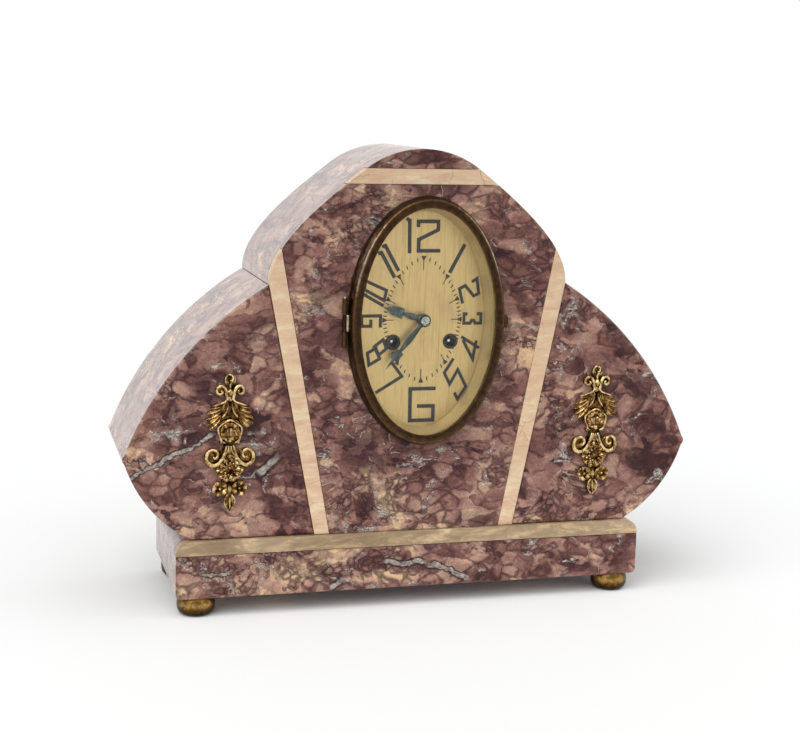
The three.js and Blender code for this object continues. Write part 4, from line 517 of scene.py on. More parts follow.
def antique_brass(name, bright, mid, dark, rough, shaded, mottled):
    """Cast or turned brass under old lacquer. The value given at each point shows bright metal
    where it is rubbed and where a highlight is painted, and brown where patina stays and where
    shade is painted in hollows. Faces seen aslant are painted into shade by the share shaded.
    mottled scales the patches in it."""
    finish, shader, place = new_finish(name)
    patch = noise(place, 260, 6, 0.72, 0.6)
    # rubbing, painted highlights and painted shade, as given for each point
    wear_and_painted_light = put("Attribute", {}, "Fac", tree=place.id_data, attribute_name="wear_and_painted_light")
    level = maths("ADD", times(wear_and_painted_light, 0.7), span(patch, 0.3, 0.7, -0.28 * mottled, 0.4 * mottled))
    body = ramp(level, 0.05, dark, 0.45, mid, 0.95, bright)
    speck = patches(place, 900, 0.6, 0.7, 3, 0.6)
    body = blend(times(speck, 0.6), body, dark)
    # painted shade on faces seen aslant
    body = blend(span(aslant(place), 0.25, 0.85, 0.0, shaded), body, dark)
    gloss = maths("ADD", span(patch, 0.3, 0.7, rough, rough + 0.16 * mottled),
                  gone(level, 0.0, 0.5, 0.2))
    feed(shader, {"Base Color": body, "Metallic": 1.0, "Roughness": gloss,
                  "Normal": bump(patch, 0.22 * mottled, 0.0005)})
    return finish


bun_profile = eased([(0, 0), (6.5, 0), (8.2, 0.2), (11.2, 1.6), (12.7, 4.3), (13.0, 7.4),
                     (12.7, 10.4), (12.0, 12.4), (11.7, 13.1)]) * mm
bun_profile = np.concatenate([bun_profile, [[0, 13.1 * mm]]])
foot_brass = antique_brass("foot_brass", "#c9a263", "#694d24", "#1c1408", 0.22, 0.9, 0.5)
for corner in ("front_left", "front_right", "rear_left", "rear_right"):
    low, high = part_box("foot_" + corner)
    centre = np.array([(low.x + high.x) / 2, (low.y + high.y) / 2, low.z])
    bun = revolved(bun_profile, 64) + centre
    # painted light by height: a painted highlight round the belly, painted shade at the bottom
    painted_belly_light = np.interp(bun_profile[:, 1:] / mm, [0.5, 4.5, 8.0, 12.5], [0.0, 0.35, 1.0, 0.45])
    surface = (bun, False, True, np.broadcast_to(painted_belly_light, bun.shape[:2]))
    surface_piece("bun_" + corner, [surface], foot_brass, "gilt_brass", "case", "foot_" + corner)


# The floral mounts: one cast gilt-brass spray on each wing. A bud and two scrolls stand over two
# lobed leaves, then a rose, two volutes with a daisy between them, two small flowers and a
# hanging bud. Lengths are millimetres from the mount's middle: x, y (depth) and z.
def leaf(start, end, width, height, base=0.6, lift=0.0, bow=0.0, grooves=1.5, dip=0.35,
         full=0.75, blunt=1.0):
    """A cast leaf from start to end, bowed aside. Its half width is width / 2 * sin(pi u^full)
    to the power blunt; its section is half an ellipse whose height is cut by grooves beside the
    midrib, over a flat back. lift raises the tip."""
    u = np.linspace(0, 1, 22)[:, None]
    a = around(24)
    start, end = np.array(start, float), np.array(end, float)
    along = (end - start) / np.linalg.norm(end - start)
    aside = np.array([along[1], -along[0]])
    curve = np.sin(np.pi * u ** full).clip(0) ** blunt
    half = width / 2 * curve
    s = np.cos(a)
    ridge = 1 - dip * (0.5 - 0.5 * np.cos(2 * np.pi * grooves * np.abs(s)))
    rise = np.sin(a).clip(0) ** 0.7 * ridge * curve ** 0.6 * height
    spine = start + (end - start) * u + aside * bow * np.sin(np.pi * u)
    points = np.zeros((len(u), len(a), 3))
    points[..., 0] = spine[:, :1] + aside[0] * half * s
    points[..., 2] = spine[:, 1:] + aside[1] * half * s
    points[..., 1] = -(base + lift * u ** 1.5 + rise)
    # painted highlight and rubbing on the raised middle, painted shade in the grooves and at the
    # edges
    wear_and_painted_light = (0.15 + 0.85 * (rise / height) * ridge ** 2).clip(0, 1)
    return points, False, True, wear_and_painted_light * np.ones_like(points[..., 0])


def rib(path, radius, height, side=1, steps=7):
    """A rounded rib along a smooth path of (x, z) points, mirrored where side is -1. radius and
    height are given at the path's points and run smoothly between them; the ends close to a
    point."""
    data = eased(np.column_stack([np.array(path) * [side, 1], np.broadcast_to(radius, len(path)),
                                  np.broadcast_to(height, len(path))]), steps)
    spine, r, h = data[:, :2], data[:, 2:3], data[:, 3:]
    way = np.gradient(spine, axis=0)
    way /= np.linalg.norm(way, axis=1, keepdims=True)
    aside = np.column_stack([way[:, 1], -way[:, 0]])
    taper = np.ones_like(r)
    taper[0] = taper[-1] = 0
    taper[1] = taper[-2] = 0.75
    a = around(14)
    points = np.zeros((len(r), len(a), 3))
    points[..., 0] = spine[:, :1] + aside[:, :1] * r * taper * np.cos(a)
    points[..., 2] = spine[:, 1:] + aside[:, 1:] * r * taper * np.cos(a)
    points[..., 1] = -(h + r * taper * 0.9 * np.sin(a))
    # painted highlight and rubbing along the top of the rib, painted shade down its sides
    wear_and_painted_light = (0.35 + 0.65 * np.sin(a)) * np.ones_like(points[..., 0])
    return points, False, True, wear_and_painted_light.clip(0, 1)


def dome(x, z, radius, base, height, ripple=0.0, waves=0, high=1.0):
    """A dome of radius and height over a base level, its rim rippled by waves:
    r = radius * cos(t) * (1 + ripple * cos(waves * a)), rise = height * sin(t). Its painted light
    runs from low at the rim to high at the top: painted shade round the rim, painted highlight
    and rubbing on the top."""
    low = 0.1
    t = np.linspace(0, np.pi / 2, 9)[:, None]
    a = around(28)
    r = radius * np.cos(t) * (1 + ripple * np.cos(waves * a))
    rise = base + height * np.sin(t) + 0 * a
    rim = np.stack([x + r * np.cos(a), -rise, z + r * np.sin(a)], -1)
    foot = rim[:1].copy()
    foot[..., 1] = 0
    pole = np.broadcast_to(np.array([x, 0.0, z]), foot.shape)
    points = np.concatenate([pole, foot, rim])
    wear_and_painted_light = np.concatenate([np.zeros((2, 28)) + low, low + (high - low) * np.sin(t) + 0 * a])
    return points, False, True, wear_and_painted_light


def flower(x, z, radius, petals, base, height, turn=0.0, heart=0.4, wide=1.0):
    """Petals set round a heart, each a blunt leaf that rises to its tip."""
    angles = turn + around(petals)
    width = 2 * np.pi * radius / petals * 0.78 * wide
    return [leaf((x + heart * radius * np.sin(a), z + heart * radius * np.cos(a)),
                 (x + radius * np.sin(a), z + radius * np.cos(a)), width, height, base,
                 lift=0.6, grooves=1.0, dip=0.3, full=1.25, blunt=0.55) for a in angles]


def beads(x, z, circle, count, radius, base):
    """Small domes set in a circle."""
    return [dome(x + circle * np.sin(a), z + circle * np.cos(a), radius, base, radius)
            for a in around(count)]


def mount_backing():
    """The thin web that the spray is cast on: its half width follows the spray, and its section
    is a flat oval 1.1 thick."""
    outline = eased([(-45.5, 0.8), (-41, 2.6), (-36, 3.4), (-31, 8.0), (-26, 5.4), (-18, 8.4),
                     (-12, 9.5), (-7, 7.5), (-1.5, 4.2), (6, 7.6), (13, 8.4), (19, 11.0),
                     (24, 7.5), (29, 2.6), (34, 5.5), (39, 3.0), (44, 2.0), (46.2, 0.6)], 4)
    z, half = outline.T[..., None]
    taper = np.ones_like(half)
    taper[0] = taper[-1] = 0
    a = around(16)
    points = np.zeros((len(z), len(a), 3))
    points[..., 0] = half * taper * np.cos(a)
    points[..., 1] = -0.6 - 0.5 * np.sin(a) * taper
    points[..., 2] = z + 0 * a
    # the web is left dark: painted shade in the gaps between the cast parts
    return points, False, True, np.zeros_like(points[..., 0])


def spray():
    """All the surfaces of one mount."""
    # hanging bud: a keel between two raised edges
    parts = [mount_backing(), leaf((0, -34.5), (0, -47), 7.4, 2.4, 0.6, dip=0.45, full=0.8)]
    parts += [rib([(1.2, -35), (3.3, -38.5), (3.0, -42.5), (0, -46.6)], 0.55,
                  [1.6, 2.0, 1.9, 1.4], side) for side in (-1, 1)]
    parts.append(rib([(0, -37), (0, -41), (0, -45)], 0.5, 2.9))
    # small flowers, the ridge between them
    for side in (-1, 1):
        x, z = side * 6.6, -31.2
        parts += [dome(x, z, 4.6, 0.4, 1.0, high=0.2),
                  *flower(x, z, 5.4, 5, 1.2, 1.7, turn=0.3 * side, heart=0.34, wide=1.05),
                  dome(x, z, 1.1, 1.4, 1.5)]
    # daisy: two rings of petals, a beaded ring round a sunk heart
    daisy = -17.3
    parts += [leaf((0, -28.6), (0, -35.6), 3.2, 2.2, 0.8, dip=0.2),
              dome(0, daisy, 8.6, 0.4, 1.6, high=0.25),
              *flower(0, daisy, 9.6, 11, 1.2, 2.0, heart=0.52, wide=1.1),
              *flower(0, daisy, 7.4, 9, 2.2, 1.8, turn=0.2, heart=0.5, wide=0.95),
              *beads(0, daisy, 4.1, 11, 0.75, 3.2), dome(0, daisy, 1.5, 1.6, 1.6, high=0.55)]
    # volutes: each stem runs down from the rose, round under the curl and into it
    path = [(2.0, -1.2), (3.2, -5.6), (5.2, -10.4), (7.8, -13.8), (11.2, -15.0), (14.4, -13.4),
            (15.7, -9.8), (14.6, -6.0), (11.6, -4.2), (8.9, -5.4), (8.4, -8.2), (10.2, -9.7),
            (11.6, -8.4)]
    radius = [0.8, 1.0, 1.2, 1.4, 1.7, 1.7, 1.4, 1.2, 1.1, 1.0, 0.9, 0.85, 0.8]
    height = [2.4, 2.6, 2.6, 2.3, 2.1, 2.2, 2.6, 3.0, 3.4, 3.7, 4.0, 4.3, 4.6]
    for side in (-1, 1):
        parts += [rib(path, radius, height, side),
                  dome(side * 11.4, -9.4, 5.6, 0.4, 1.8, high=0.45),
                  rib([(0.6, -1.8), (1.4, -5.0), (3.2, -8.4), (6.6, -11.6)], 0.6, 1.9, side)]
    parts.append(leaf((0, -2.0), (0, -9.4), 3.6, 1.6, 0.8, dip=0.3))
    # rose: a cupped outer ring, folded inner petals and a tight bud, under a wavy rim
    rose = 7.3
    parts.append(dome(0, rose, 6.8, 0.4, 2.4, high=0.2))
    parts += flower(0, rose, 6.9, 5, 1.8, 2.4, turn=0.63, heart=0.3, wide=1.1)
    parts += [leaf((x, 11.2 - abs(x) * 0.5), (x * 0.5, 3.0 + abs(x) * 0.3), 3.4, 2.2,
                   3.0 - abs(x) * 0.2, dip=0.25, full=0.9, blunt=0.7)
              for x in (-3.2, 3.2, -1.1, 1.3)]
    parts.append(leaf((0.2, 11.0), (0.0, 4.2), 2.6, 2.0, 4.6, dip=0.1, blunt=0.8))
    rim = np.radians(np.linspace(-160, 160, 15))
    sway = 7.7 + 0.5 * np.cos(5 * rim)
    parts.append(rib(np.column_stack([sway * np.sin(rim), rose + sway * np.cos(rim)]), 0.8,
                     2.4 + 0.5 * np.cos(3 * rim), steps=5))
    for side in (-1, 1):
        parts += [leaf((side * 2.5, 15.4), (side * 7.6, 11.6), 2.6, 1.6, 1.4),
                  dome(side * 5.6, 0.2, 1.3, 0.8, 1.5)]
    # lobed leaves: fingers that fan out from the stem, a long one along the top
    fan = [((3.4, 26.4), (13.6, 23.6), 3.0), ((3.6, 25.0), (15.6, 19.8), 3.4),
           ((4.0, 23.2), (16.6, 15.8), 3.5), ((4.6, 21.2), (16.2, 12.0), 3.5),
           ((5.0, 19.4), (14.2, 9.0), 3.4)]
    for side in (-1, 1):
        parts += [leaf((side * root[0], root[1]), (side * tip[0], tip[1]), width, 1.7,
                       1.3 + 0.12 * number, lift=0.5, bow=side * 1.1, grooves=1.0, dip=0.4,
                       full=1.3, blunt=0.7) for number, (root, tip, width) in enumerate(fan)]
        parts += [leaf((side * 1.8, 28.4), (side * 7.2, 16.6), 5.0, 2.2, 1.2, bow=side * 0.8,
                       dip=0.5, grooves=2.5),
                  rib([(1.2, 30.4), (3.6, 27.8), (7.6, 26.2), (11.8, 24.6)],
                      [0.8, 0.7, 0.6, 0.4], [3.2, 3.0, 2.6, 2.2], side),
                  rib([(1.6, 24.6), (2.6, 20.6), (5.4, 16.8)], 0.6, 2.2, side)]
        # upper scroll: the stem rises from the neck, leans out and curls under
        parts += [rib([(1.4, 28.6), (2.4, 32.0), (3.0, 35.2), (4.6, 37.8), (7.0, 38.2),
                       (8.8, 36.2), (8.4, 33.6), (6.4, 33.0), (5.2, 34.4), (6.2, 35.8)],
                      [1.0, 1.2, 1.2, 1.15, 1.1, 1.05, 1.0, 0.9, 0.85, 0.8],
                      [2.6, 3.0, 3.0, 2.6, 2.4, 2.4, 2.6, 2.9, 3.3, 3.6], side),
                  dome(side * 6.4, 35.4, 3.4, 0.4, 1.0, high=0.2)]
    # knob on the neck, and the bud over it
    parts += [dome(0.2, 34.0, 2.9, 0.8, 3.2, ripple=0.14, waves=4),
              leaf((0, 27.2), (0, 32.6), 4.4, 2.0, 1.0, dip=0.2),
              dome(0, 42.4, 3.0, 0.6, 1.4, high=0.3)]
    parts += [leaf((side * 0.6, 38.0), (side * 2.4, 46.4), 2.8, 2.0, 1.0, bow=side * 1.2, dip=0.25)
              for side in (-1, 1)]
    parts.append(rib([(-2.6, 40.4), (-3.0, 43.6), (-0.8, 46.0), (1.6, 44.8), (1.4, 42.2),
                      (-0.4, 42.0)], 0.6, [2.0, 2.2, 2.4, 2.6, 2.8, 3.0]))
    parts.append(rib([(0, 36.4), (0.2, 39.6), (1.8, 41.6)], 0.7, 2.2))
    return parts


# the near-black tone is painted shade in the recesses; the pale one painted highlight and rubbed
# gilding
gilt = antique_brass("mount_gilt", "#e4cb94", "#80592c", "#16120c", 0.24, 0.85, 1.15)
spray_surfaces = spray()
for name in ("floral_mount_left", "floral_mount_right"):
    low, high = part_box(name)
    centre = np.array([(low.x + high.x) / 2, high.y, (low.z + high.z) / 2])
    placed = [(points * mm + centre, rows, cols, wear_and_painted_light)
              for points, rows, cols, wear_and_painted_light in spray_surfaces]
    surface_piece(name + "_cast", placed, gilt, "gilt_brass", "case", name, angle=60)


# The bezel: a hinged cast ring of browned brass whose slope runs down to the glass. Painted
# highlight lines run along its crown and inner lip, and painted highlights lie on its outer
# edge at the upper right, the upper left and, fainter, the bottom. The hinge is on the left
# and a small thumb tab on the right.
dial_low, dial_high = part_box("dial")
dial_z = (dial_low.z + dial_high.z) / 2
DIAL_DEPTH = 8.5
centre = np.array([(dial_low.x + dial_high.x) / 2, dial_low.y - DIAL_DEPTH * mm, dial_z])
OVAL = 30.0


def oval_ring(profile, sides=220):
    """A profile of (half height, y) carried round an oval whose width is less than its height
    by the same amount everywhere: x = (half - OVAL) sin a, z = half cos a."""
    a = around(sides)[:, None]
    half, y = np.asarray(profile).T[:, None]
    points = np.stack([(half - OVAL) * np.sin(a), y + 0 * a, half * np.cos(a)], -1)
    return points * mm + centre


def on_hinge(profile, sides):
    """A profile of (radius, height) carried round the hinge's upright axis."""
    return (revolved(profile, sides) + [HINGE_X, HINGE_Y, 0]) * mm + centre


def rounded_bar(x0, x1, y, half_high, half_deep, ease):
    """A bar along x with rounded ends. Its section is |z/half_high|^4 + |y/half_deep|^4 = 1."""
    a = around(20)
    z = np.sign(np.cos(a)) * np.abs(np.cos(a)) ** 0.5 * half_high
    deep = np.sign(np.sin(a)) * np.abs(np.sin(a)) ** 0.5 * half_deep
    at = np.array([x0, x0, x0 + ease, x1 - ease, x1, x1])[:, None]
    size = np.array([0, 1 - ease / 2, 1, 1, 1 - ease / 2, 0])[:, None]
    return np.stack([at + 0 * a, y - size * deep, size * z], -1) * mm + centre


HINGE_X, HINGE_Y = -57.2, -3.2
crown = eased([(84.8, -2.4), (84.55, -4.4), (83.9, -6.8), (83.1, -8.7), (82.3, -9.45),
               (81.4, -9.3), (80.2, -8.85), (78.8, -8.6), (77.6, -8.75), (77.0, -8.8)], 5)
bezel_profile = np.concatenate([[(79.8, -1.8), (84.8, -1.8)], crown,
                                [(77.1, -7.0), (79.0, -6.2), (79.0, -3.9)]])
# painted light across the profile: highlight lines along the crown and the inner lip, darker
# between and on the outer foot
level = np.interp(bezel_profile[:, 0], [77.0, 77.3, 77.9, 81.6, 82.2, 82.8, 83.3, 84.8],
                  [0.55, 0.45, 0.1, 0.15, 0.45, 0.4, 0.2, 0.1])
# painted highlight on the outer edge, strongest near the outermost radius
painted_edge_highlight = np.interp(bezel_profile[:, 0], [80.5, 81.8, 83.0, 84.0, 84.7, 84.8],
                        [0.0, 0.45, 0.5, 1.0, 0.6, 0.0])
ring = oval_ring(bezel_profile)
side_angle = np.degrees(around(len(ring)))[:, None]
# where the outer edge's painted highlights lie round the ring, in degrees from the top: upper
# right, upper left and, fainter, the bottom
painted_highlight_share = sum(share * np.exp(-((side_angle - middle) / spread) ** 2)
                   for share, middle, spread in ((1, 50, 28), (0.9, 303, 26), (0.3, 180, 60)))
ring_wear_and_highlight = (level + painted_edge_highlight * painted_highlight_share).clip(0, 1.2)
edge_x = 84.8 - OVAL
tab = rounded_bar(edge_x - 1.5, edge_x + 2.9, -3.7, 4.6, 1.3, 0.9)
knuckle = rounded_bar(HINGE_X + 1.2, HINGE_X + 3.4, HINGE_Y, 5.7, 1.0, 0.2)
barrel = on_hinge([(0.85, -5.8), (1.25, -5.8), (1.5, -5.55), (1.5, 5.55), (1.25, 5.8),
                   (0.85, 5.8)], 24)
bezel_parts = [(ring, True, True, ring_wear_and_highlight), (barrel, True, True, np.full(barrel.shape[:2], 0.1)),
               (knuckle, False, True), (tab, False, True, np.full(tab.shape[:2], 0.35))]
# its pale grey bright tone is the colour of the painted highlights
browned = antique_brass("bezel_brass", "#cdbfa6", "#5a4128", "#30231a", 0.2, 0.25, 0.4)
surface_piece("bezel_ring", bezel_parts, browned, "patinated_brass", "bezel_door", "bezel")
hinge_pin = on_hinge([(0, -16.5), (0.7, -16.5), (0.7, 16.8), (1.2, 16.8), (1.2, 17.5), (0.9, 17.8),
                      (0, 17.8)], 20)
surface_piece("bezel_pin", [(hinge_pin, False, True)], browned, "brass", "case", "bezel_hinge_pin")


# The glass: a flat oval pane behind the bezel's lip. It mirrors a little of the room.
pane, tree = bare_finish("pane")
clear = put("BsdfTransparent", {"Color": (0.985, 0.985, 0.97, 1)}, tree=tree)
mirror = put("BsdfGlossy", {"Color": WHITE, "Roughness": 0.02}, tree=tree)
glance = put("Fresnel", {"IOR": 1.3}, tree=tree)
dust = noise(put("TexCoord", {}, "Object", tree=tree), 300, 4)
share = times(glance, span(dust, 0.3, 0.7, 0.7, 0.8))
feed(tree.nodes["Material Output"], {
    "Surface": put("MixShader", {0: share, 1: clear, 2: mirror})})
glass_profile = [(OVAL, -5.9), (78.5, -5.9), (78.7, -5.7), (78.7, -4.1), (78.5, -3.9),
                 (OVAL, -3.9)]
glass = oval_ring(glass_profile, 160)
glass[:, (0, -1), 2] = dial_z
surface_piece("glass_pane", [(glass, True, False)], pane, "glass", "bezel_door", "bezel_glass")


# The dial pan: a stamped brass tray behind the bezel that carries the hinge, the dial and the
# movement. Only its browned flange and knuckles show.
pan_brass = antique_brass("pan_brass", "#a98d62", "#6b5433", "#4a3820", 0.3, 0.3, 0.6)
smooth_copy("dial_frame", "dial_pan", pan_brass, "patinated_brass")


# The sight ring and the dial: gilded brass, brushed upright, with a little wear to pink and grey.
# The ring is turned, so its brush marks run round it.
def brushed_gilt(name, bright, deep, worn, marks, rough, metal=0.85):
    """Gilded brass with fine straight brush marks; marks scales the pattern along each axis."""
    finish, shader, place = new_finish(name)
    drawn = stretched(place, marks)
    brush = noise(drawn, 1400, 3, 0.75)
    body = ramp(maths("ADD", times(brush, 0.6), times(noise(drawn, 420, 2, 0.5), 0.4)),
                0.36, deep, 0.5, bright, 0.66, deep)
    body = blend(span(noise(place, 55, 4, 0.6, 0.4), 0.5, 0.75, 0, 0.45), body, worn)
    spot = span(noise(place, 420, 5, 0.7), 0.7, 0.76, 0, 0.55)
    feed(shader, {"Base Color": blend(spot, body, "#6b5431"), "Metallic": metal,
                  "Roughness": span(brush, 0.3, 0.7, rough - 0.05, rough + 0.08),
                  "Normal": bump(brush, 0.05, 0.0002)})
    return finish


dial_gilt = brushed_gilt("dial_gilt", "#dbc18a", "#c3a770", "#b79778", (1, 1, 0.03), 0.42)
ring_gilt = brushed_gilt("ring_gilt", "#e6d4a4", "#cfbb8a", "#a8966c", (0.05, 1, 0.05), 0.5, 0.5)
nodes["dial"].data.materials.clear()
nodes["dial"].data.materials.append(dial_gilt)
sight_profile = [(77.6, -3.6), (78.2, -3.6), (78.2, 8.2), (74.3, 8.2), (74.0, 7.4),
                 (74.2, 6.4), (75.4, 2.6), (76.7, -1.0)]
surface_piece("sight_ring_turned", [(oval_ring(sight_profile), True, True)], ring_gilt,
              "dial_gilt", "case", "sight_ring")


# The numerals and the minute track: thin flat strokes of black-brown enamel on the dial, drawn
# as the angular figures of the time. Lengths are millimetres from the dial's centre.
def strokes(lines, width, lift=0.0):
    """Flat strokes along lines of (x, z) points. A stroke's edges are its line moved half a
    width each way along the mitre of its corners. A line that ends where it starts is closed."""
    surfaces = []
    for number, line in enumerate(lines):
        closed = line[0] == line[-1]
        p = np.array(line[:-1] if closed else line, float)
        way = np.roll(p, -1, 0) - p
        way /= np.linalg.norm(way, axis=1, keepdims=True)
        before = np.roll(way, 1, 0)
        if not closed:
            way[-1] = before[-1]
            before[0] = way[0]
        normal = np.column_stack([way[:, 1], -way[:, 0]])
        mitre = normal + np.column_stack([before[:, 1], -before[:, 0]])
        mitre /= (mitre * normal).sum(1, keepdims=True)
        edges = np.stack([p + mitre * width / 2, p - mitre * width / 2], 1)
        front = DIAL_DEPTH - 0.05 - lift - 0.004 * (number % 7)
        body = np.zeros((len(p), 4, 3))
        body[:, :2, ::2] = edges
        body[:, (3, 2), ::2] = edges
        body[:, :2, 1], body[:, 2:, 1] = front - 0.05, front
        if not closed:
            ends = body.mean(1, keepdims=True) + 0 * body
            body = np.concatenate([ends[:1], body, ends[-1:]])
        surfaces.append((body * mm + centre, closed, True))
    return surfaces


def painted(name, scale, detail, rough, *stops, low=0.4, high=0.6):
    """Paint or lacquer with rubbed patches; its roughness runs from low to high."""
    finish, shader, place = new_finish(name)
    rubbed = noise(place, scale, detail, rough)
    feed(shader, {"Base Color": ramp(rubbed, *stops),
                  "Roughness": span(rubbed, 0.3, 0.7, low, high)})
    return finish


def inward_head(s, c, tip, out, half):
    """The corners of an arrow head that points inwards, its tip and base so far out."""
    return [(s * tip, c * tip), (s * out - c * half, c * out + s * half),
            (s * out + c * half, c * out - s * half)]


wide_figures = [
    [(-12.9, 69.0), (-10.6, 67.6), (-10.2, 45.4)],
    [(-4.4, 63.1), (-4.4, 67.0), (9.6, 67.0), (9.6, 61.3), (-4.0, 54.7), (-4.0, 47.1),
     (11.5, 47.1)],
    [(28.9, 51.5), (18.5, 32.0)],
    [(10.9, -47.9), (-7.3, -47.9), (-7.1, -70.1), (9.4, -70.0), (9.4, -60.2), (-2.2, -60.1)],
    [(-29.4, 49.8), (-27.2, 50.6), (-17.5, 33.4)],
    [(-32.2, 45.2), (-30.0, 46.0), (-20.2, 28.9)]]
slim_figures = [
    [(34.7, 25.7), (38.3, 28.0), (39.9, 17.7), (36.3, 16.0), (30.0, 23.2), (25.9, 21.0),
     (28.5, 10.8)],
    [(32.3, 3.6), (29.8, 3.6), (29.8, -2.9), (34.3, -2.9), (35.3, -0.9), (36.9, -0.9),
     (37.9, -2.9), (42.0, -2.9), (42.0, 3.6), (38.9, 3.6)],
    [(28.3, -12.2), (41.5, -20.4)],
    [(29.5, -14.5), (37.0, -28.0), (39.2, -15.0)],
    [(23.2, -27.3), (16.8, -37.2), (20.9, -45.2), (26.5, -35.2), (32.7, -47.2), (26.9, -55.8),
     (24.5, -51.3)],
    [(-21.2, -28.8), (-13.5, -39.0), (-31.8, -50.0)],
    [(-38.1, -22.5), (-32.3, -19.0), (-29.5, -26.4), (-36.9, -30.7), (-38.1, -22.5)],
    [(-33.5, -18.2), (-27.4, -13.4), (-24.8, -19.6), (-30.5, -24.0), (-33.5, -18.2)],
    [(-29.5, -5), (-29.5, 3), (-42.5, 3), (-42.5, -4), (-36.2, -4), (-36.2, 0.6)],
    [(-40.5, 27), (-25.7, 20.3), (-27.3, 13.5), (-41, 21), (-40.5, 27)],
    [(-40.3, 18.5), (-40, 16.8), (-27.5, 9.8)]]
enamel = painted("figure_enamel", 380, 4, 0.6, 0.35, "#22221e", 0.6, "#33332d", 0.75, "#4d493a")
surface_piece("numerals", strokes(wide_figures, 2.6) + strokes(slim_figures, 2.2, lift=0.03),
              enamel, "blued_steel", "case")

# the track lies where |x / TRACK_X|^POWER + |z / TRACK_Z|^POWER = 1; every fifth minute has a
# filled head, which is a fan closed over a thin edge
TRACK_X, TRACK_Z, POWER = 26.5, 42.0, 1.7
ticks, arrows, heads = [], [], []
for number, angle in enumerate(np.radians(np.arange(0, 360, 6))):
    s, c = math.sin(angle), math.cos(angle)
    track = (abs(s / TRACK_X) ** POWER + abs(c / TRACK_Z) ** POWER) ** (-1 / POWER)
    if number % 5:
        ticks.append([(s * out, c * out) for out in (track - 1.3, track + 1.3)])
        continue
    tip = track - 1.6
    shaft = 6.4 if number % 30 == 0 else 4.4
    corners = inward_head(s, c, tip, track + 1.4, 1.4)
    arrows += [[(s * (tip - shaft), c * (tip - shaft)), corners[0]], corners + corners[:1]]
    rim = np.array(inward_head(s, c, track - 1.9, track + 1.6, 1.5))
    layers = np.zeros((4, 3, 3))
    layers[1:3, :, ::2] = rim
    layers[(0, 3), :, ::2] = rim.mean(0)
    layers[:2, :, 1], layers[2:, :, 1] = DIAL_DEPTH - 0.12, DIAL_DEPTH - 0.03
    heads.append((layers * mm + centre, False, True))
marks = painted("track_enamel", 500, 4, 0.6, 0.35, "#2c2418", 0.6, "#453820", 0.8, "#75633a")
surface_piece("minute_track", strokes(ticks, 0.8, lift=0.02) + strokes(arrows, 0.6, lift=0.02),
              marks, "blued_steel", "case")
surface_piece("hour_marks", heads, marks, "blued_steel", "case")


# The winding holes are lined with black cups, in which the ends of the winding squares show.
def turned(profile, y, x=0.0, z=0.0, sides=40):
    """A profile of (radius, depth) carried round a front-back axis at x, z, from depth y."""
    a = around(sides)[:, None]
    r, depth = np.asarray(profile).T[:, None]
    points = np.stack([x + r * np.cos(a), y + depth + 0 * a, z + r * np.sin(a)], -1)
    return points * mm + centre


HOLE_X, HOLE_Z = 20.4, -15.2
cup_profile = [(3.7, -0.35), (4.2, -0.55), (5.1, -0.45), (5.35, -0.1), (5.35, -0.04),
               (4.6, -0.04), (4.6, 3.4), (3.9, 3.4)]
lacquer = painted("cup_lacquer", 600, 3, 0.55, 0.3, "#090908", 0.7, "#151411", low=0.16, high=0.16)
cups = [(turned(cup_profile, DIAL_DEPTH, x, HOLE_Z, 48), True, True) for x in (-HOLE_X, HOLE_X)]
surface_piece("winding_cups", cups, lacquer, "blued_steel", "case")


# The hands: blued steel, ground to a ridge along the middle, each with a slim shank that swells,
# a wide block and a fine point. The hour hand lies under the minute hand.
def blade(shank, rest, y_back, ridge, degrees):
    """A hand pointing up, then turned clockwise. Its (distance, half width) pairs run smoothly
    along the shank and straight over the rest. The section is a low roof over a flat back."""
    data = np.concatenate([eased(shank, 5), rest])
    z, half = data.T[..., None]
    flat = np.array([-1, -0.98, 0, 0.98, 1, 0.98, -0.98])
    tall = np.array([0.25, 0.45, 1, 0.45, 0.25, 0, 0])
    x, z = half * flat, z + 0 * flat
    y = y_back - ridge * tall * np.clip(half / 1.2, 0.35, 1)
    t = math.radians(degrees)
    points = np.stack([x * math.cos(t) + z * math.sin(t), y,
                       z * math.cos(t) - x * math.sin(t)], -1)
    ends = points.mean(1, keepdims=True) + 0 * points
    points = np.concatenate([ends[:1], points, ends[-1:]])
    return points * mm + centre, False, True


def collet(bore, y_back):
    """The round boss that holds a hand on its pipe."""
    profile = [(bore, 0), (4.4, 0), (4.4, -0.56), (4.0, -0.8), (bore, -0.8)]
    return turned(profile, y_back), True, True


def polished_steel(name, low_tone, high_tone, rim, rough):
    """Polished steel with faint clouds, and painted shade in the colour rim where it is seen
    aslant.
    """
    finish, shader, place = new_finish(name)
    cloud = noise(place, 520, 5, 0.7, 0.5)
    shade = ramp(cloud, 0.36, low_tone, 0.6, high_tone)
    feed(shader, {"Base Color": blend(span(aslant(place), 0.15, 0.6), shade, rim),
                  "Metallic": 1.0, "Roughness": span(cloud, 0.3, 0.7, rough, rough + 0.15)})
    return finish


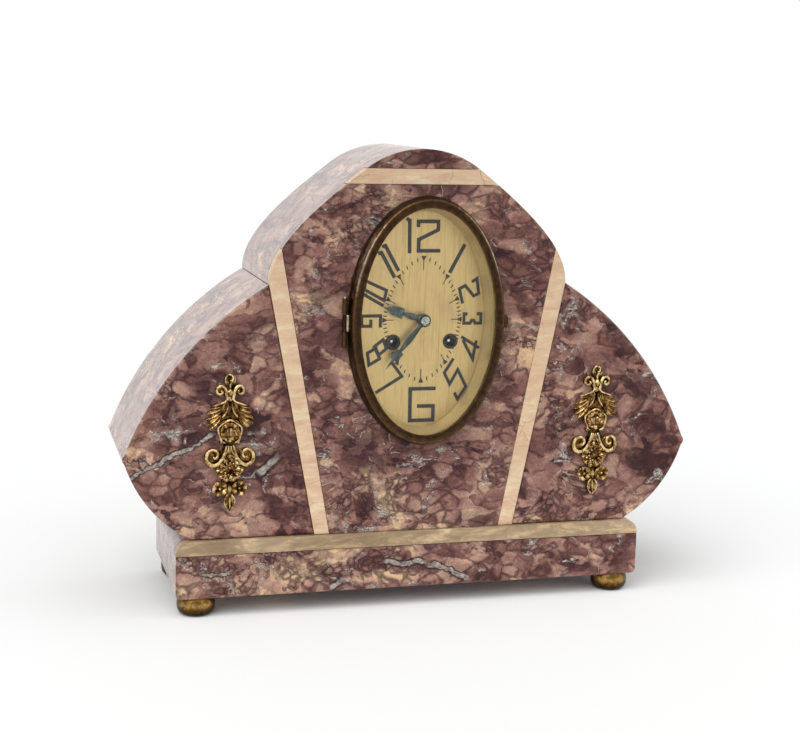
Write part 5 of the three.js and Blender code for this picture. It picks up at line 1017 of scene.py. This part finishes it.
blued, shader, place = new_finish("hand_steel")
cloud = noise(place, 260, 4, 0.6, 0.5)
shade = ramp(cloud, 0.3, "#303839", 0.5, "#4a5555", 0.7, "#6d7876")
rust = span(noise(place, 520, 4, 0.65), 0.63, 0.7, 0, 0.6)
feed(shader, {"Base Color": blend(rust, shade, "#5a4a3a"), "Metallic": 0.9,
              "Roughness": span(cloud, 0.3, 0.7, 0.28, 0.45)})
HOUR_BACK, MINUTE_BACK = 5.0, 2.7
hour = blade([(2.5, 1.3), (5.5, 1.9), (8.5, 2.3), (12.5, 1.5), (15.0, 0.9)],
             [(15.4, 3.7), (16.0, 3.75), (20.0, 3.35), (24.0, 2.95), (24.4, 1.3), (27.0, 0.75),
              (29.4, 0.12)], HOUR_BACK, 0.95, 288)
surface_piece("hour_blade", [hour, collet(2.35, HOUR_BACK)], blued, "blued_steel", "hour_set",
              "hour_hand", angle=12)
minute = blade([(2.5, 1.2), (8.0, 1.5), (15.0, 2.1), (21.0, 1.8), (26.4, 1.0)],
               [(26.8, 3.2), (27.4, 3.25), (30.5, 2.95), (33.6, 2.6), (34.0, 1.1), (38.5, 0.6),
                (42.6, 0.1)], MINUTE_BACK, 0.9, 219)
surface_piece("minute_blade", [minute, collet(1.35, MINUTE_BACK)], blued, "blued_steel",
              "minute_set", "minute_hand", angle=12)
nut_profile = np.concatenate([[(0, 0), (3.4, 0)], eased(
    [(3.5, -0.2), (3.5, -0.9), (3.1, -1.6), (1.9, -2.05), (0, -2.2)], 5)])
nut_steel = polished_steel("nut_steel", "#555a5a", "#cdd1cf", "#454948", 0.18)
surface_piece("dome_nut", [(turned(nut_profile, 1.5), True, False)], nut_steel, "steel",
              "minute_set", "hand_nut")

# the rounded, polished ends of the two winding squares, down in their cups
end_profile = np.concatenate([[(0, 0)], eased([(1.7, 0), (1.6, -0.5), (1.2, -0.95), (0.6, -1.2),
                                               (0, -1.25)], 5)])
end_steel = polished_steel("winding_end_steel", "#b9bdbd", "#f0f2f1", "#3c4040", 0.14)
for x, name in ((HOLE_X, "going"), (-HOLE_X, "strike")):
    end = turned(end_profile, 12.35, x, HOLE_Z)
    surface_piece("winding_end_" + name, [(end, True, False)], end_steel, "steel", name + "_arbor")


# The movement: brass plates, barrels and wheels, steel arbors, ratchets, clicks and anchor, all
# seen through the rear door. The shapes are the solids' own.
def wrought(name, low_tone, mid_tone, high_tone, rough, scale, stretch=(1, 1, 1)):
    """Plain metal with fine grain and handling marks."""
    finish, shader, place = new_finish(name)
    grain = noise(stretched(place, stretch), scale, 4, 0.7)
    cloud = noise(place, 70, 4, 0.6, 0.5)
    level = maths("ADD", times(grain, 0.5), times(cloud, 0.5))
    feed(shader, {"Base Color": ramp(level, 0.36, low_tone, 0.5, mid_tone, 0.64, high_tone),
                  "Metallic": 1.0, "Roughness": span(cloud, 0.3, 0.7, rough, rough + 0.14),
                  "Normal": bump(grain, 0.05, 0.0003)})
    return finish


wheel_brass = wrought("wheel_brass", "#9a7a42", "#b8964f", "#d0b06a", 0.26, 900, (1, 1, 0.1))
case_brass = wrought("case_brass", "#8d6f3c", "#a98849", "#c3a25e", 0.28, 700)
arbor_steel = wrought("arbor_steel", "#6d7172", "#8f9495", "#adb1b1", 0.3, 800, (1, 0.2, 1))
bell_bronze = wrought("bell_bronze", "#9a9582", "#b9b49e", "#cdc8b4", 0.2, 500, (1, 0.1, 1))
metal_of = {"brass": wheel_brass, "steel": arbor_steel, "bell_metal": bell_bronze}
slots = {entry["node"]: entry["material_slot"] for entry in frame["record"]["subparts"]}
rear_case = ("rear_frame", "rear_door", "rear_hinge_pin")
already = ("bezel_hinge_pin", "hand_nut")
for body, members in frame["record"]["behaviour"]["bodies"].items():
    for node in members:
        if slots[node] in metal_of and node not in already:
            metal = case_brass if node in rear_case else metal_of[slots[node]]
            smooth_copy(node, node + "_metal", metal, slots[node], body)
